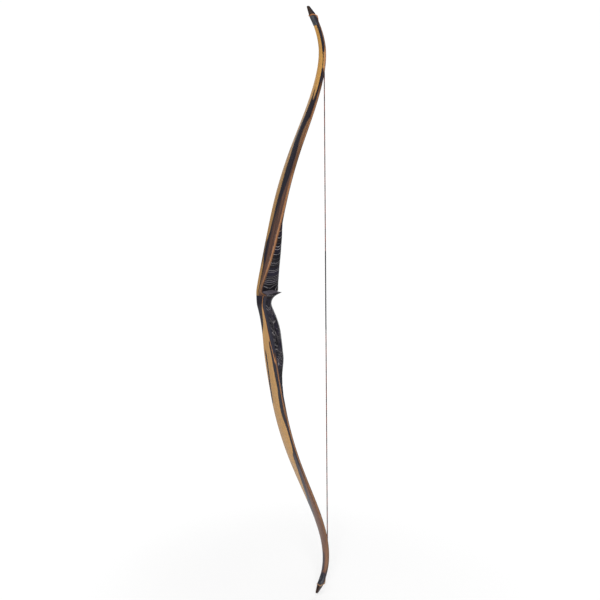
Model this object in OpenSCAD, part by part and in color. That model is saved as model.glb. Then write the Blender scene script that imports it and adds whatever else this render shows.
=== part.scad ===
// One-piece recurve bow, strung, for an archer who draws with the right hand.
// Millimetres. The origin is the deepest point of the grip's throat, on the belly side.
// +X runs from the bow to the string and the archer, +Z is up, -Y is the archer's left.
// Each limb is a curve that starts at the bend in the back of the handle. Places on it are
// given as the distance from that bend, measured along the back.

/* [Limbs] */
// Width of both limbs where the riser's wedges end
limb_w = 38; // [35:0.5:42]
// Width of both limbs at the string nocks
nock_w = 13; // [12:0.5:16]
// Width that the tips taper to before they are rounded off
tip_w = 5.5; // [4:0.5:8]
// How the width tapers: 1 is a straight taper, more keeps the limb wide for longer
taper_power = 1.25; // [1:0.05:1.5]
// Distance from the bend to the end of the upper wedge
upper_fade = 232; // [222:1:242]
// Distance from the bend to the end of the lower wedge
lower_fade = 242; // [232:1:252]
// Distance from the bend to the upper string nock
upper_nock = 729; // [719:1:733]
// Distance from the bend to the lower string nock
lower_nock = 788; // [778:1:792]
// Length of the tip past the nock
tip_len = 24; // [18:1:30]
// Share of the bending length that stays with the riser when the limb flexes
flex_share = 0.15; // [0.1:0.01:0.2]

/* [Laminations] */
// Thickness of the clear glass skins
glass_t = 1.0; // [0.8:0.1:1.3]
// Thickness of the face veneers under the glass
veneer_t = 0.7; // [0.5:0.1:1]
// Thickness of each of the two wood cores at the wedge end
core_t = 3.1; // [2.6:0.1:3.6]
// Thickness that each core loses per metre of limb
core_loss = 1.8; // [0:0.1:3]
// Length of the belly skin that runs up the riser's wedge
skin_run = 45; // [30:1:60]

/* [Riser] */
// Depth of the handle from the throat to the bend in its back
handle_depth = 33.5; // [31:0.5:38]
// Height of the bend in the back over the throat
bend_z = 3; // [0:0.5:8]
// Width of the grip at the throat
grip_w = 25; // [23:0.5:30]
// How far the palm swell stands out behind the throat
palm_out = 29.5; // [26:0.5:33]
// How far the riser's belly stands out behind the throat beside the sight window
window_out = 28; // [25:0.5:31]
// Thickness of the upper wedge at the length given next
upper_ramp_h = 16.5; // [14:0.5:18]
// Thickness of the lower wedge at the length given next
lower_ramp_h = 16.5; // [13:0.5:20]
// Length over which both wedges reach those thicknesses
ramp_len = 80; // [74:1:90]

/* [Sight window] */
// Height of the arrow shelf over the throat
shelf_z = 27; // [25:0.5:32]
// How far the window is cut past the bow's centre line at the shelf
past_centre = 2.5; // [0:0.5:5]
// Height of the sight window over the shelf
window_h = 188; // [170:1:195]
// How far the window's wall swells between its rounded long edges
window_crown = 3; // [1:0.5:4]
// Rounding of the wall's long edge on the belly side, across the bow
edge_round = 5; // [2:0.5:7]
// Rise of the arrow shelf's crown between the back and the belly
shelf_crown = 4; // [1:0.5:6]
// Fall of the arrow shelf from the wall to its outer edge
shelf_fall = 7; // [2:0.5:9]

/* [Tips] */
// Thickness of the tip overlays
overlay_t = 3.2; // [2:0.1:4]
// How much shorter the tips are on the belly side than on the back
tip_slant = 7; // [2:0.5:10]
// Length of the tip overlays
overlay_len = 48; // [38:1:60]

/* [String] */
// Diameter of the string
string_d = 2.4; // [2:0.1:3]
// Diameter of the spliced ends that lie on the limbs
splice_d = 3.2; // [3:0.1:4]
// Diameter over the centre serving
serving_d = 3.1; // [3.1:0.1:4.2]
// Height of the nocking point over the throat
nocking_z = 40; // [36:1:46]
// Length of the centre serving over the nocking point
serving_up = 82; // [60:1:100]
// Length of the centre serving under the nocking point
serving_down = 119; // [90:1:140]
// Distance from the nock to the fork of the string's loop
fork_run = 26; // [22:1:34]

/* [Hidden] */

// Lean of the back towards the string at distances from the bend, in degrees
upper_bend = [
    [0, 0], [10, 7], [35, 14], [60, 15.5], [130, 15.4], [210, 16.4], [260, 18.5], [310, 21.8],
    [360, 24.2], [410, 26.8], [460, 26.6], [510, 24.2], [550, 21.2], [580, 17.4], [610, 11.4],
    [640, 0.8], [670, -16], [700, -30], [730, -34], [770, -34]
];
lower_bend = [
    [0, 0], [8, 14], [25, 16], [50, 12.2], [110, 9.5], [190, 10.8], [250, 12], [310, 16.8],
    [370, 20.6], [430, 24.2], [490, 25.5], [540, 25.5], [580, 23.4], [610, 20.9], [640, 18.2],
    [670, 12.8], [700, 5.2], [730, -5], [760, -21.5], [790, -31], [830, -31]
];
// Distances from the bend where the recurves start and need closer stations
upper_curl = 570;
lower_curl = 630;
upper_ramp_power = 2.4;
lower_ramp_power = 1.6;

seat_gap = 0.3;
string_r = string_d / 2;
splice_r = splice_d / 2;
groove_r = string_r + 0.5;

// Even steps from a towards b, without b itself
function even(a, b, step) =
    let (n = max(1, ceil((b - a) / step))) [for (i = [0 : n - 1]) a + (b - a) * i / n];

// Stations along one limb, closer together where it bends more
function stations(fade, hinge, curl, tip) =
    concat(even(0, 12, 4), even(12, 33, 2.6), even(33, fade - skin_run, 12), even(fade - skin_run, fade, 9),
        even(fade, hinge, 15), even(hinge, curl, 16), even(curl, tip, 7), [tip]);

// The back's curve as points [x, z], one at each station
function trace(bend, s, dir) =
    [for (i = 0, p = [-handle_depth, bend_z]; i < len(s);
        p = i < len(s) - 1 ? p + stride(bend, s[i], s[i + 1], dir) : p, i = i + 1) p];
function stride(bend, a, b, dir) =
    let (lean = lookup((a + b) / 2, bend)) (b - a) * [sin(lean), dir * cos(lean)];

// One limb: 0 direction, 1 bend table, 2 stations, 3 curve, 4 wedge end, 5 flex line,
// 6 nock, 7 tip end, 8 wedge thickness, 9 wedge power
function limb(dir, bend, fade, nock, curl, ramp_h, ramp_power) =
    let (hinge = fade + flex_share * (nock - fade),
        s = stations(fade, hinge, curl, nock + tip_len))
    [dir, bend, s, trace(bend, s, dir), fade, hinge, nock, nock + tip_len, ramp_h, ramp_power];
upper = limb(1, upper_bend, upper_fade, upper_nock, upper_curl, upper_ramp_h, upper_ramp_power);
lower = limb(-1, lower_bend, lower_fade, lower_nock, lower_curl, lower_ramp_h, lower_ramp_power);

// Depth from the back to each layer's face, counted from the back:
// 0 back, 1 veneer, 2 core, 3 second core, 4 wedge, 5 belly veneer, 6 belly glass, 7 belly
function core_at(m, s) = core_t - core_loss * max(0, s - m[4]) / 1000;
function wedge_at(m, s) = s < m[4] ? m[8] * pow((m[4] - s) / ramp_len, m[9]) : 0;
function depth(m, s, face) =
    (face > 0 ? glass_t : 0) + (face > 1 ? veneer_t : 0)
    + min(2, max(0, face - 2)) * core_at(m, s)
    + (face > 4 ? wedge_at(m, s) : 0)
    + (face > 5 ? veneer_t : 0) + (face > 6 ? glass_t : 0);
function inward(m, s) = let (lean = lookup(s, m[1])) [cos(lean), -m[0] * sin(lean)];
function station(m, i, d) = m[3][i] + inward(m, m[2][i]) * d;
function picks(m, a, b) = [for (i = [0 : len(m[2]) - 1]) if (m[2][i] > a - 0.01 && m[2][i] < b + 0.01) i];
function face_line(m, a, b, face) = [for (i = picks(m, a, b)) station(m, i, depth(m, m[2][i], face))];
function reverse(list) = [for (i = [len(list) - 1 : -1 : 0]) list[i]];
function place(m, s) =
    let (i = max([for (k = [0 : len(m[2]) - 1]) if (m[2][k] <= s + 0.01) k]),
        lean = lookup((s + m[2][i]) / 2, m[1]))
    m[3][i] + (s - m[2][i]) * [sin(lean), m[0] * cos(lean)];

// A smooth curve through a table of [place, value] rows
function row_under(t, x, i = 0) = i >= len(t) - 2 || x < t[i + 1][0] ? i : row_under(t, x, i + 1);
function rise(t, i) =
    let (a = max(0, i - 1), b = min(len(t) - 1, i + 1)) (t[b][1] - t[a][1]) / (t[b][0] - t[a][0]);
function curve(t, x) =
    x <= t[0][0] ? t[0][1] : x >= t[len(t) - 1][0] ? t[len(t) - 1][1] :
    let (i = row_under(t, x), h = t[i + 1][0] - t[i][0], u = (x - t[i][0]) / h)
    (1 + 2 * u) * pow(1 - u, 2) * t[i][1] + u * pow(1 - u, 2) * h * rise(t, i)
    + u * u * (3 - 2 * u) * t[i + 1][1] - u * u * (1 - u) * h * rise(t, i + 1);

// Half the limb's width at a height, from the wedge's end to the tip
function limb_half(m, z) =
    let (fade_z = abs(place(m, m[4])[1]), nock_z = abs(place(m, m[6])[1]),
        end_z = abs(place(m, m[7])[1]) + 4.6,
        u = min(1, max(0, (abs(z) - fade_z) / (nock_z - fade_z))),
        v = min(0.998, max(0, (abs(z) - nock_z) / (end_z - nock_z))))
    (nock_w + (limb_w - nock_w) * (1 - pow(u, taper_power))) / 2
    * (1 - (1 - tip_w / nock_w) * pow(v, 0.8)) * sqrt(1 - pow(v, 4));

// Tables that sculpt the riser: height, value
upper_fade_z = place(upper, upper_fade)[1];
lower_fade_z = place(lower, lower_fade)[1];
half_table = [
    [lower_fade_z, limb_w / 2], [-150, limb_w / 2], [-108, limb_w / 2 - 0.6],
    [-85, grip_w / 2 + 4], [-60, grip_w / 2 + 1.9], [-35, grip_w / 2 + 0.5], [-12, grip_w / 2],
    [shelf_z - 22, grip_w / 2 + 1.4], [shelf_z - 10, limb_w / 2 - 3.4], [shelf_z + 6, limb_w / 2 - 1],
    [shelf_z + 60, limb_w / 2 - 0.3], [upper_fade_z, limb_w / 2]
];
back_round = [
    [lower_fade_z, 0.1], [-160, 1.2], [-110, 3], [-80, 4.5], [-30, 5], [0, 5],
    [shelf_z - 10, 4], [shelf_z + 8, 2.5], [shelf_z + 60, 1.6], [180, 0.8], [upper_fade_z, 0.1]
];
belly_round = [
    [lower_fade_z, 0.3], [-200, 4], [-160, 10], [-130, 14], [-100, 16.5], [-60, 19.5], [0, 20],
    [shelf_z - 7, 16], [shelf_z + 5, 9], [shelf_z + 35, 7], [150, 4], [190, 1.2], [upper_fade_z, 0.3]
];
belly_round_share = [
    [lower_fade_z, 0.1], [-180, 0.5], [-130, 0.85], [-80, 1], [shelf_z - 10, 1],
    [shelf_z + 8, 0.5], [shelf_z + 35, 0.4], [150, 0.25], [upper_fade_z, 0.1]
];
function ramp_rows(m) =
    [for (back_off = [0, 20, 40, 60]) let (s = m[4] - back_off, p = place(m, s) + inward(m, s) * depth(m, s, 7))
        [p[1], p[0]]];
belly_table = concat(
    [for (p = ramp_rows(lower)) p],
    [
        [-132, palm_out], [-108, palm_out - 0.8], [-84, palm_out - 1.9], [-60, palm_out - 4.7],
        [-36, palm_out - 12.5], [-17, palm_out * 0.27], [0, 0], [shelf_z - 18, 0.8],
        [shelf_z - 12.5, 4], [shelf_z - 7.5, 10], [shelf_z - 3.5, 18.5], [shelf_z, window_out - 1],
        [shelf_z + 4, window_out + 2.6], [shelf_z + 15, window_out + 3], [shelf_z + 33, window_out + 2],
        [shelf_z + 63, window_out - 0.6], [shelf_z + 98, window_out - 1.8]
    ],
    reverse([for (p = ramp_rows(upper)) p])
);
back_table = concat(
    reverse([for (i = [0 : len(lower[2]) - 1]) [lower[3][i][1], lower[3][i][0]]]),
    [for (i = [1 : len(upper[2]) - 1]) [upper[3][i][1], upper[3][i][0]]]
);
function back_x(z) = lookup(z, back_table);
function belly_x(z) =
    z > upper_fade_z || z < lower_fade_z
        ? back_x(z) + 2 * (glass_t + veneer_t + core_t) + 6
        : curve(belly_table, z);
function half_at(z) =
    z > upper_fade_z ? limb_half(upper, z) : z < lower_fade_z ? limb_half(lower, z) : curve(half_table, z);

// A quarter of an ellipse about a centre, starting at an angle
function quarter(centre, rx, ry, start, steps) =
    [for (k = [0 : steps]) let (a = start + 90 * k / steps) centre + [rx * cos(a), ry * sin(a)]];

// The sculpted handle's outline at one height behind its back layers, as [x, y] points
function outline(z) =
    let (xb = back_x(z) + 2, xf = belly_x(z), h = half_at(z),
        rx = min(curve(belly_round, z), xf - xb - 1),
        ry = min(curve(belly_round_share, z) * h, h - 0.05))
    concat(
        [[xb, -h]], quarter([xf - rx, -h + ry], rx, ry, 270, 8),
        quarter([xf - rx, h - ry], rx, ry, 0, 8), [[xb, h]]
    );

// A closed skin over rings of points that all have the same count
function ring_faces(rings, count, closed = false) = [
    for (i = [0 : rings - (closed ? 1 : 2)], k = [0 : count - 1])
        let (a = i * count, b = ((i + 1) % rings) * count, n = (k + 1) % count)
        for (f = [[a + k, b + n, a + n], [a + k, b + k, b + n]]) f
];
module loft(rings) {
    count = len(rings[0]);
    polyhedron(
        points = [for (r = rings) for (p = r) p],
        faces = concat([[for (k = [0 : count - 1]) k]], ring_faces(len(rings), count),
            [[for (k = [count - 1 : -1 : 0]) (len(rings) - 1) * count + k]]),
        convexity = 8
    );
}

// Heights at which the handle's outline is drawn, closest under the shelf
upper_flex_z = place(upper, upper[5])[1];
lower_flex_z = place(lower, lower[5])[1];
slice_z = concat(
    [lower_flex_z - 12, (lower_flex_z + lower_fade_z) / 2], even(lower_fade_z, -26, 12),
    even(-26, shelf_z - 22, 6), even(shelf_z - 22, shelf_z + 6, 2.5), even(shelf_z + 6, shelf_z + 30, 6),
    even(shelf_z + 30, upper_fade_z, 11), [upper_fade_z, (upper_flex_z + upper_fade_z) / 2, upper_flex_z + 12]
);
module sculpted_blank() {
    loft([for (z = slice_z) [for (p = outline(z)) [p[0], p[1], z]]]);
}

// The sight window's wall: how far out it is, over its height, as shares
window_shape = [
    [0, 0], [0.09, 0], [0.2, 0.18], [0.3, 0.37], [0.42, 0.57], [0.54, 0.71], [0.68, 0.82],
    [0.81, 0.9], [0.9, 0.97], [1, 1.04]
];
edge_run = 8;
function window_wall(x, z) =
    let (share = (z - shelf_z) / window_h, belly = curve(belly_table, z), mid = (back_x(z) + belly) / 2,
        u = min(1.2, max(-1.2, (x - mid) / (belly - mid))),
        q = min(1, max(0, (x - belly + edge_run) / edge_run)))
    past_centre - (past_centre + limb_w / 2) * curve(window_shape, share)
    + window_crown * max(0, 1 - share) * ((u > 0 ? 1 : 0.4) * u * u - 0.3)
    + edge_round * max(0, 1 - pow(share / 0.7, 2)) * (1 - sqrt(1 - q * q));
function shelf_floor(x, y) =
    let (mid = (back_x(shelf_z) + window_out) / 2, u = (x - mid) / (window_out - mid),
        out = max(0, past_centre - y) / (past_centre + limb_w / 2))
    shelf_z + shelf_crown * (1 - u * u) - shelf_fall * out * (0.55 - 0.45 * u);
window_reach = 60;
shelf_fillet = 3;
// The space cut out for the window, as a row of [y, z] outlines along X
function window_slice(x) =
    let (wall = window_wall(x, shelf_z + shelf_fillet), top = shelf_z + window_h,
        floor_z = shelf_floor(x, wall - shelf_fillet))
    concat(
        [for (y = [-window_reach, -limb_w / 2, wall - shelf_fillet]) [y, shelf_floor(x, y)]],
        [for (a = [30, 60]) [wall - shelf_fillet * (1 - sin(a)), floor_z + shelf_fillet * (1 - cos(a))]],
        [for (k = [0 : 16]) let (z = floor_z + shelf_fillet + (top - floor_z - shelf_fillet) * k / 16)
            [window_wall(x, z), z]],
        [[-window_reach, top]]
    );
module window_space() {
    slices = concat([-window_reach], even(-36, 12, 6), even(12, 36, 2), [36, window_reach]);
    loft([for (x = slices) [for (p = window_slice(x)) [x, p[0], p[1]]]]);
}

// Flat shapes stood up: side views run across the bow, front views run from back to belly
module from_side(points) {
    rotate([90, 0, 0]) linear_extrude(limb_w + 10, center = true) polygon(points);
}
module from_front(points) {
    rotate([90, 0, 90]) linear_extrude(600, center = true) polygon(points);
}

// A strip of one layer between two faces and two places along the limb
function strip(m, a, b, face) = concat(face_line(m, a, b, face), reverse(face_line(m, a, b, face + 1)));

// Front view of one limb from its wedge to its tip
function limb_front(m) =
    let (start_z = abs(place(m, m[4] - skin_run - 10)[1]), fade_z = abs(place(m, m[4])[1]),
        end_z = abs(place(m, m[7])[1]) + 8, nock_z = abs(place(m, m[6])[1]),
        heights = concat([start_z], even(fade_z, nock_z, 45), even(nock_z, end_z, 6), [end_z]),
        half = [for (z = heights) [half_at(m[0] * z), m[0] * z]])
    concat(half, reverse([for (p = half) [-p[0], p[1]]]));

// The slanted end of a tip: the back reaches further than the belly
module tip_end(m) {
    lean = lookup(m[7], m[1]);
    ahead = 30 * [sin(lean), m[0] * cos(lean)];
    a = place(m, m[7]) - overlay_t * inward(m, m[7]);
    b = place(m, m[7] - tip_slant) + depth(m, m[7], 7) * inward(m, m[7]);
    from_side([a, b, 2 * b - a, 2 * b - a + ahead, a + ahead]);
}

// The part of a layer that flexes
module limb_layer(m, face) {
    difference() {
        intersection() {
            from_side(strip(m, m[5], m[7], face));
            from_front(limb_front(m));
        }
        nock_grooves(m);
        tip_end(m);
    }
}
// The part of a layer that is glued to the handle. Its long edges follow the handle's width,
// the window's wall and the rounding of the back, so neighbours meet in one smooth edge.
function edge_inset(z, d) =
    let (r = curve(back_round, z)) d < r ? r - sqrt(r * r - (r - d) * (r - d)) : 0;
function near_edge(x, z) =
    let (h = half_at(z), wall = max(-h, window_wall(x, z)),
        low = shelf_floor(x, -h), high = shelf_floor(x, wall))
    -h + (wall + h) * min(1, max(0, (z - low) / (high - low)));
function edge_pair(m, i, face) =
    let (d = depth(m, m[2][i], face), p = station(m, i, d), inset = edge_inset(p[1], d))
    [[p[0], near_edge(p[0], p[1]) + inset, p[1]], [p[0], half_at(p[1]) - inset, p[1]]];
function root_ring(m, i, face) = concat(edge_pair(m, i, face), reverse(edge_pair(m, i, face + 1)));
function root_rings(m, a, b, face) = [for (i = picks(m, a, b)) root_ring(m, i, face)];
module root_layer(m, face, start = 0) {
    rings = root_rings(m, start, m[5], face);
    loft(m[0] > 0 ? rings : reverse(rings));
}
module whole_root_layer(face) {
    loft(concat(reverse(root_rings(lower, 0.5, lower[5], face)), root_rings(upper, 0, upper[5], face)));
}

// Side view of the riser block between the back layers and the belly skins
function riser_side() =
    let (u = upper, l = lower, far = 70,
        u_end = face_line(u, u[4] - skin_run, u[4] - skin_run, 5)[0],
        l_end = face_line(l, l[4] - skin_run, l[4] - skin_run, 5)[0])
    concat(
        face_line(u, 0, u[4], 4), reverse(face_line(u, u[4] - skin_run, u[4] - 1, 5)),
        [u_end + far * inward(u, u[4] - skin_run), l_end + far * inward(l, l[4] - skin_run)],
        face_line(l, l[4] - skin_run, l[4], 5), reverse(face_line(l, 1, l[4] - 1, 4))
    );

module riser_block() {
    color([0.16, 0.15, 0.17])
    difference() {
        intersection() {
            sculpted_blank();
            from_side(riser_side());
        }
        window_space();
    }
}

// Places in a tip's own directions: along to the tip, inward to the belly, across
function tip_point(m, along, deep, across) =
    let (p = place(m, m[6]), lean = lookup(m[6], m[1]),
        q = p + along * [sin(lean), m[0] * cos(lean)] + deep * inward(m, m[6]))
    [q[0], across, q[1]];
// Places that follow the limb's own curve, counted from the nock
function on_limb(m, along, deep, across) =
    let (s = m[6] + along, q = place(m, s) + deep * inward(m, s)) [q[0], across, q[1]];
module rod(a, b, r) {
    d = b - a;
    translate(a)
        rotate([0, acos(d[2] / norm(d)), atan2(d[1], d[0])])
            cylinder(h = norm(d), r = r, $fn = 32);
}

// The loop of the string lies in two slanting side grooves and one across the back
side_y = nock_w / 2 + 0.3;
nock_depth = 2 * (glass_t + veneer_t + core_t) - 1.4;
back_deep = -overlay_t - 0.1;
belly_deep = nock_depth + string_r + seat_gap + 0.4;
slant = 0.55;
module nock_grooves(m) {
    for (side = [-1, 1])
        rod(tip_point(m, -slant * (belly_deep + 5), belly_deep + 4, side * side_y),
            tip_point(m, -slant * (back_deep - 5), back_deep - 6, side * side_y), groove_r);
    rod(tip_point(m, -slant * back_deep, back_deep, -nock_w),
        tip_point(m, -slant * back_deep, back_deep, nock_w), groove_r);
}

// Thickness of a tip overlay along the limb, faired in at its low end
function overlay_at(m, s) =
    overlay_t * min(1, 0.12 + pow(max(0, (s - m[7] + overlay_len) / (overlay_len * 0.4)), 1.4))
    * (1 - 0.6 * pow(max(0, (s - m[6]) / tip_len), 1.3));
module tip_overlay(m) {
    i = picks(m, m[7] - overlay_len, m[7]);
    color([0.1, 0.1, 0.13])
    difference() {
        intersection() {
            from_side(concat([for (k = i) station(m, k, 0)],
                reverse([for (k = i) station(m, k, -overlay_at(m, m[2][k]))])));
            from_front(limb_front(m));
        }
        nock_grooves(m);
        tip_end(m);
    }
}

// Where the string leaves the recurves: the belly's furthest points
function belly_peak(m) =
    let (line = face_line(m, m[5], m[6], 7), top = max([for (p = line) p[0]]))
    [for (i = [0 : len(line) - 1]) if (line[i][0] == top) line[i]][0];
string_out = [splice_r + seat_gap, 0];
upper_touch = belly_peak(upper) + string_out;
lower_touch = belly_peak(lower) + string_out;
nocking = lower_touch
    + (upper_touch - lower_touch) * (nocking_z - lower_touch[1]) / (upper_touch[1] - lower_touch[1]);
string_dir = (upper_touch - lower_touch) / norm(upper_touch - lower_touch);
function in_space(p) = [p[0], 0, p[1]];

// A round tube swept along points, with a vector that its turns never line up with
function unit(v) = v / norm(v);
function tangent(p, i, closed) =
    let (n = len(p), a = closed ? (i + n - 1) % n : max(0, i - 1), b = closed ? (i + 1) % n : min(n - 1, i + 1))
    unit(p[b] - p[a]);
function tube_ring(p, i, r, aside, closed) =
    let (t = tangent(p, i, closed), u = unit(cross(t, aside)), v = cross(t, u))
    [for (k = [0 : 7]) p[i] + r * (cos(45 * k) * u + sin(45 * k) * v)];
module tube(p, r, aside, closed = false) {
    rings = [for (i = [0 : len(p) - 1]) tube_ring(p, i, r, aside, closed)];
    ends = closed ? [] : [[for (k = [0 : 7]) k], [for (k = [7 : -1 : 0]) (len(p) - 1) * 8 + k]];
    polyhedron(
        points = [for (ring = rings) for (q = ring) q],
        faces = concat(ring_faces(len(p), 8, closed), ends),
        convexity = 6
    );
}

// The loop's bight as [along, deep, across] rows for one side, from the belly to the back groove
lift_along = -slant * belly_deep - 1.6;
bight_half = [
    [lift_along + 0.3, belly_deep, side_y - 0.1], [lift_along + 0.8, belly_deep - 0.1, side_y],
    [-slant * belly_deep, belly_deep - 0.8, side_y],
    [-slant * 5, 5, side_y], [-slant * 2, 2, side_y], [slant * 1, -1, side_y],
    [slant * 2.6, back_deep + 0.9, side_y], [-slant * back_deep, back_deep, side_y - 0.9],
    [-slant * back_deep, back_deep, side_y - 3], [-slant * back_deep, back_deep, 0]
];
function mirrored(rows) = [for (i = [len(rows) - 2 : -1 : 0]) [rows[i][0], rows[i][1], -rows[i][2]]];
function across_limb(m) = cross(unit(on_limb(m, 1, -slant, 0) - on_limb(m, 0, 0, 0)), [0, 1, 0]);
module string_loop(m) {
    rows = concat(bight_half, mirrored(bight_half));
    color([0.45, 0.3, 0.16]) tube([for (q = rows) on_limb(m, q[0], q[1], q[2])], string_r, across_limb(m));
}

// The two legs run from the bight to the fork, and lift off the belly there when the bow is drawn
leg_rows = [for (t = even(0, 1, 0.1)) [
    -fork_run - 2 + t * (fork_run + 2 + lift_along), belly_deep, side_y * t * t * (3 - 2 * t)
]];
module legs(m) {
    for (side = [-1, 1])
        tube([for (q = concat(leg_rows, [[lift_along - 0.2, belly_deep, side_y - 0.1]]))
            on_limb(m, q[0], q[1], side * q[2])], string_r, inward_space(m));
}
function inward_space(m) = let (n = inward(m, m[6] - fork_run / 2)) [n[0], 0, n[1]];

// The splice follows the belly from the fork to where the string lifts off
function splice_path(m, touch) =
    let (line = [for (i = picks(m, m[5], m[6] - fork_run - 3)) if (abs(m[3][i][1]) > abs(touch[1]) - 8)
        station(m, i, depth(m, m[2][i], 7) + splice_r + seat_gap)])
    concat([touch], [for (p = line) if (abs(p[1]) > abs(touch[1]) + 2) p],
        [let (q = on_limb(m, -fork_run, belly_deep, 0)) [q[0], q[2]]]);
module string_splice(m, touch) {
    color([0.3, 0.2, 0.12])
    union() {
        tube([for (p = splice_path(m, touch)) in_space(p)], splice_r, [0, 1, 0]);
        legs(m);
    }
}
module string_half(touch) {
    dir = (nocking - touch) / norm(nocking - touch);
    color([0.22, 0.16, 0.11])
        rod(in_space(touch + seat_gap * dir), in_space(nocking - seat_gap / 2 * dir), string_r);
}
module serving(dir, length) {
    color([0.2, 0.2, 0.22])
    difference() {
        rod(in_space(nocking + dir * seat_gap / 2 * string_dir),
            in_space(nocking + dir * length * string_dir), serving_d / 2);
        rod(in_space(nocking - dir * string_dir), in_space(nocking + dir * (length + 1) * string_dir), string_r);
    }
}

glass_colour = [0.78, 0.62, 0.36];
veneer_colour = [0.66, 0.49, 0.26];
core_colour = [0.72, 0.5, 0.3];
belly_colour = [0.25, 0.2, 0.18];

riser_block();
color(glass_colour) whole_root_layer(0);  // back_glass_centre
color(veneer_colour) root_layer(upper, 1);  // upper_back_veneer_root
color(core_colour) root_layer(upper, 2);  // upper_back_core_root
color(core_colour) root_layer(upper, 3);  // upper_belly_core_root
color(belly_colour) root_layer(upper, 5, upper_fade - skin_run);  // upper_belly_veneer_root
color(glass_colour) root_layer(upper, 6, upper_fade - skin_run);  // upper_belly_glass_root
color(veneer_colour) root_layer(lower, 1);  // lower_back_veneer_root
color(core_colour) root_layer(lower, 2);  // lower_back_core_root
color(core_colour) root_layer(lower, 3);  // lower_belly_core_root
color(belly_colour) root_layer(lower, 5, lower_fade - skin_run);  // lower_belly_veneer_root
color(glass_colour) root_layer(lower, 6, lower_fade - skin_run);  // lower_belly_glass_root
color(glass_colour) limb_layer(upper, 0);  // upper_back_glass
color(veneer_colour) limb_layer(upper, 1);  // upper_back_veneer
color(core_colour) limb_layer(upper, 2);  // upper_back_core
color(core_colour) limb_layer(upper, 3);  // upper_belly_core
color(belly_colour) limb_layer(upper, 5);  // upper_belly_veneer
color(glass_colour) limb_layer(upper, 6);  // upper_belly_glass
tip_overlay(upper);  // upper_tip_overlay
color(glass_colour) limb_layer(lower, 0);  // lower_back_glass
color(veneer_colour) limb_layer(lower, 1);  // lower_back_veneer
color(core_colour) limb_layer(lower, 2);  // lower_back_core
color(core_colour) limb_layer(lower, 3);  // lower_belly_core
color(belly_colour) limb_layer(lower, 5);  // lower_belly_veneer
color(glass_colour) limb_layer(lower, 6);  // lower_belly_glass
tip_overlay(lower);  // lower_tip_overlay
string_loop(upper);  // upper_string_loop
string_splice(upper, upper_touch);  // upper_string_splice
string_half(upper_touch);  // upper_string
serving(1, serving_up);  // upper_serving
string_loop(lower);  // lower_string_loop
string_splice(lower, lower_touch);  // lower_string_splice
string_half(lower_touch);  // lower_string
serving(-1, serving_down);  // lower_serving
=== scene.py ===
"""Looks of a strung one-piece recurve bow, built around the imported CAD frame.

Shapes are worked out in millimetres in the row frame and stored in metres. Each limb is a curve
that starts at the bend in the back of the handle. A place on it is a station, the distance along
the back, and a depth, the distance from the back towards the belly.
"""
import math

import bmesh
import bpy
import numpy as np
from mathutils import Matrix, Vector


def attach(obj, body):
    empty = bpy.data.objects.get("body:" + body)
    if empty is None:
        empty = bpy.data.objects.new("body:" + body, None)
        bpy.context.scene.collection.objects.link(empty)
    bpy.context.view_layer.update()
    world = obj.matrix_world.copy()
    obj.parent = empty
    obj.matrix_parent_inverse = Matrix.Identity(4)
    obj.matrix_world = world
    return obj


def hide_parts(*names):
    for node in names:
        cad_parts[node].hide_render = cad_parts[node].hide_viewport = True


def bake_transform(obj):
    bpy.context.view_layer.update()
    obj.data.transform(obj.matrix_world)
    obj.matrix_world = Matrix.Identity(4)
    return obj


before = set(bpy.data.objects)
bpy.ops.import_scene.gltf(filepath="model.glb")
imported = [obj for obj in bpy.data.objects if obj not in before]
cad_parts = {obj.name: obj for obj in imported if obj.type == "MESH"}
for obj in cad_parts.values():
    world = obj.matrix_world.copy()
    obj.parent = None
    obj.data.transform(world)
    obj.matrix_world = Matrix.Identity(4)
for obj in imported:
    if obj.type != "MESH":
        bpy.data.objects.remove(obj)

bl_info = {
    "name": "Recurve bow looks",
    "version": (1, 0, 0),
    "blender": (4, 5, 0),
    "location": "3D View > Sidebar > Bow",
    "description": "Builds the limbs, the sculpted handle and the string of a recurve bow",
    "category": "Object",
}

MM = 0.001
FULL_TURN = 2 * math.pi

# The bow's form, in millimetres

# Widths of the limb at the handle, the nock and the tip, and the power of the taper between them
LIMB_W, NOCK_W, TIP_W, TAPER = 38.0, 13.0, 5.5, 1.25
HALF = LIMB_W / 2
# Thickness of the laminations, and what a core loses over a metre
GLASS_T, VENEER_T, CORE_T, CORE_LOSS = 1.0, 0.7, 3.1, 1.8
# Share of the limb from the handle to its hinge, the run of its curve past the tip, and how far
# past the tip its outline would close
HINGE_SHARE, CURVE_PAST, END_PAST = 0.15, 12.5, 4.6
# Handle: depth and height of the bend in its back, width of the grip, reach of palm and window
HANDLE_DEPTH, BEND_Z, GRIP_W = 33.5, 3.0, 25.0
PALM_OUT, WINDOW_OUT = 29.5, 28.0
# Ramp of the wedges and places back from its end, and where the belly skins end on it, how
# long they feather out and how far in they start
RAMP_H, RAMP_LEN, RAMP_PLACES = 16.5, 80.0, (0, 20, 40, 60)
SKIN_RUN, FEATHER, SKIN_START = 45.0, 16, 1.5
# Arrow shelf and sight window
SHELF_Z, SHELF_CROWN, SHELF_FALL, FILLET = 27.0, 4.0, 7.0, 3.0
PAST_CENTRE, WINDOW_H, WINDOW_CROWN, EDGE_ROUND, EDGE_RUN = 2.5, 188.0, 3.0, 5.0, 8.0
# Least rounding of a lamination's edges, and the angles in degrees past which edges stay sharp
EDGE_SOFT, RISER_SHARP, LAYER_SHARP, OVERLAY_SHARP = 0.45, 30, 32, 38
# Tip past the nock, slant of its end, the overlay, and the belly slope with the depth it leaves
TIP_LEN, TIP_SLANT, OVERLAY_T, OVERLAY_LEN = 24.0, 7.0, 3.2, 48.0
SLOPE_RUN, SLOPE_LEFT = 24.0, 1.2
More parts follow.
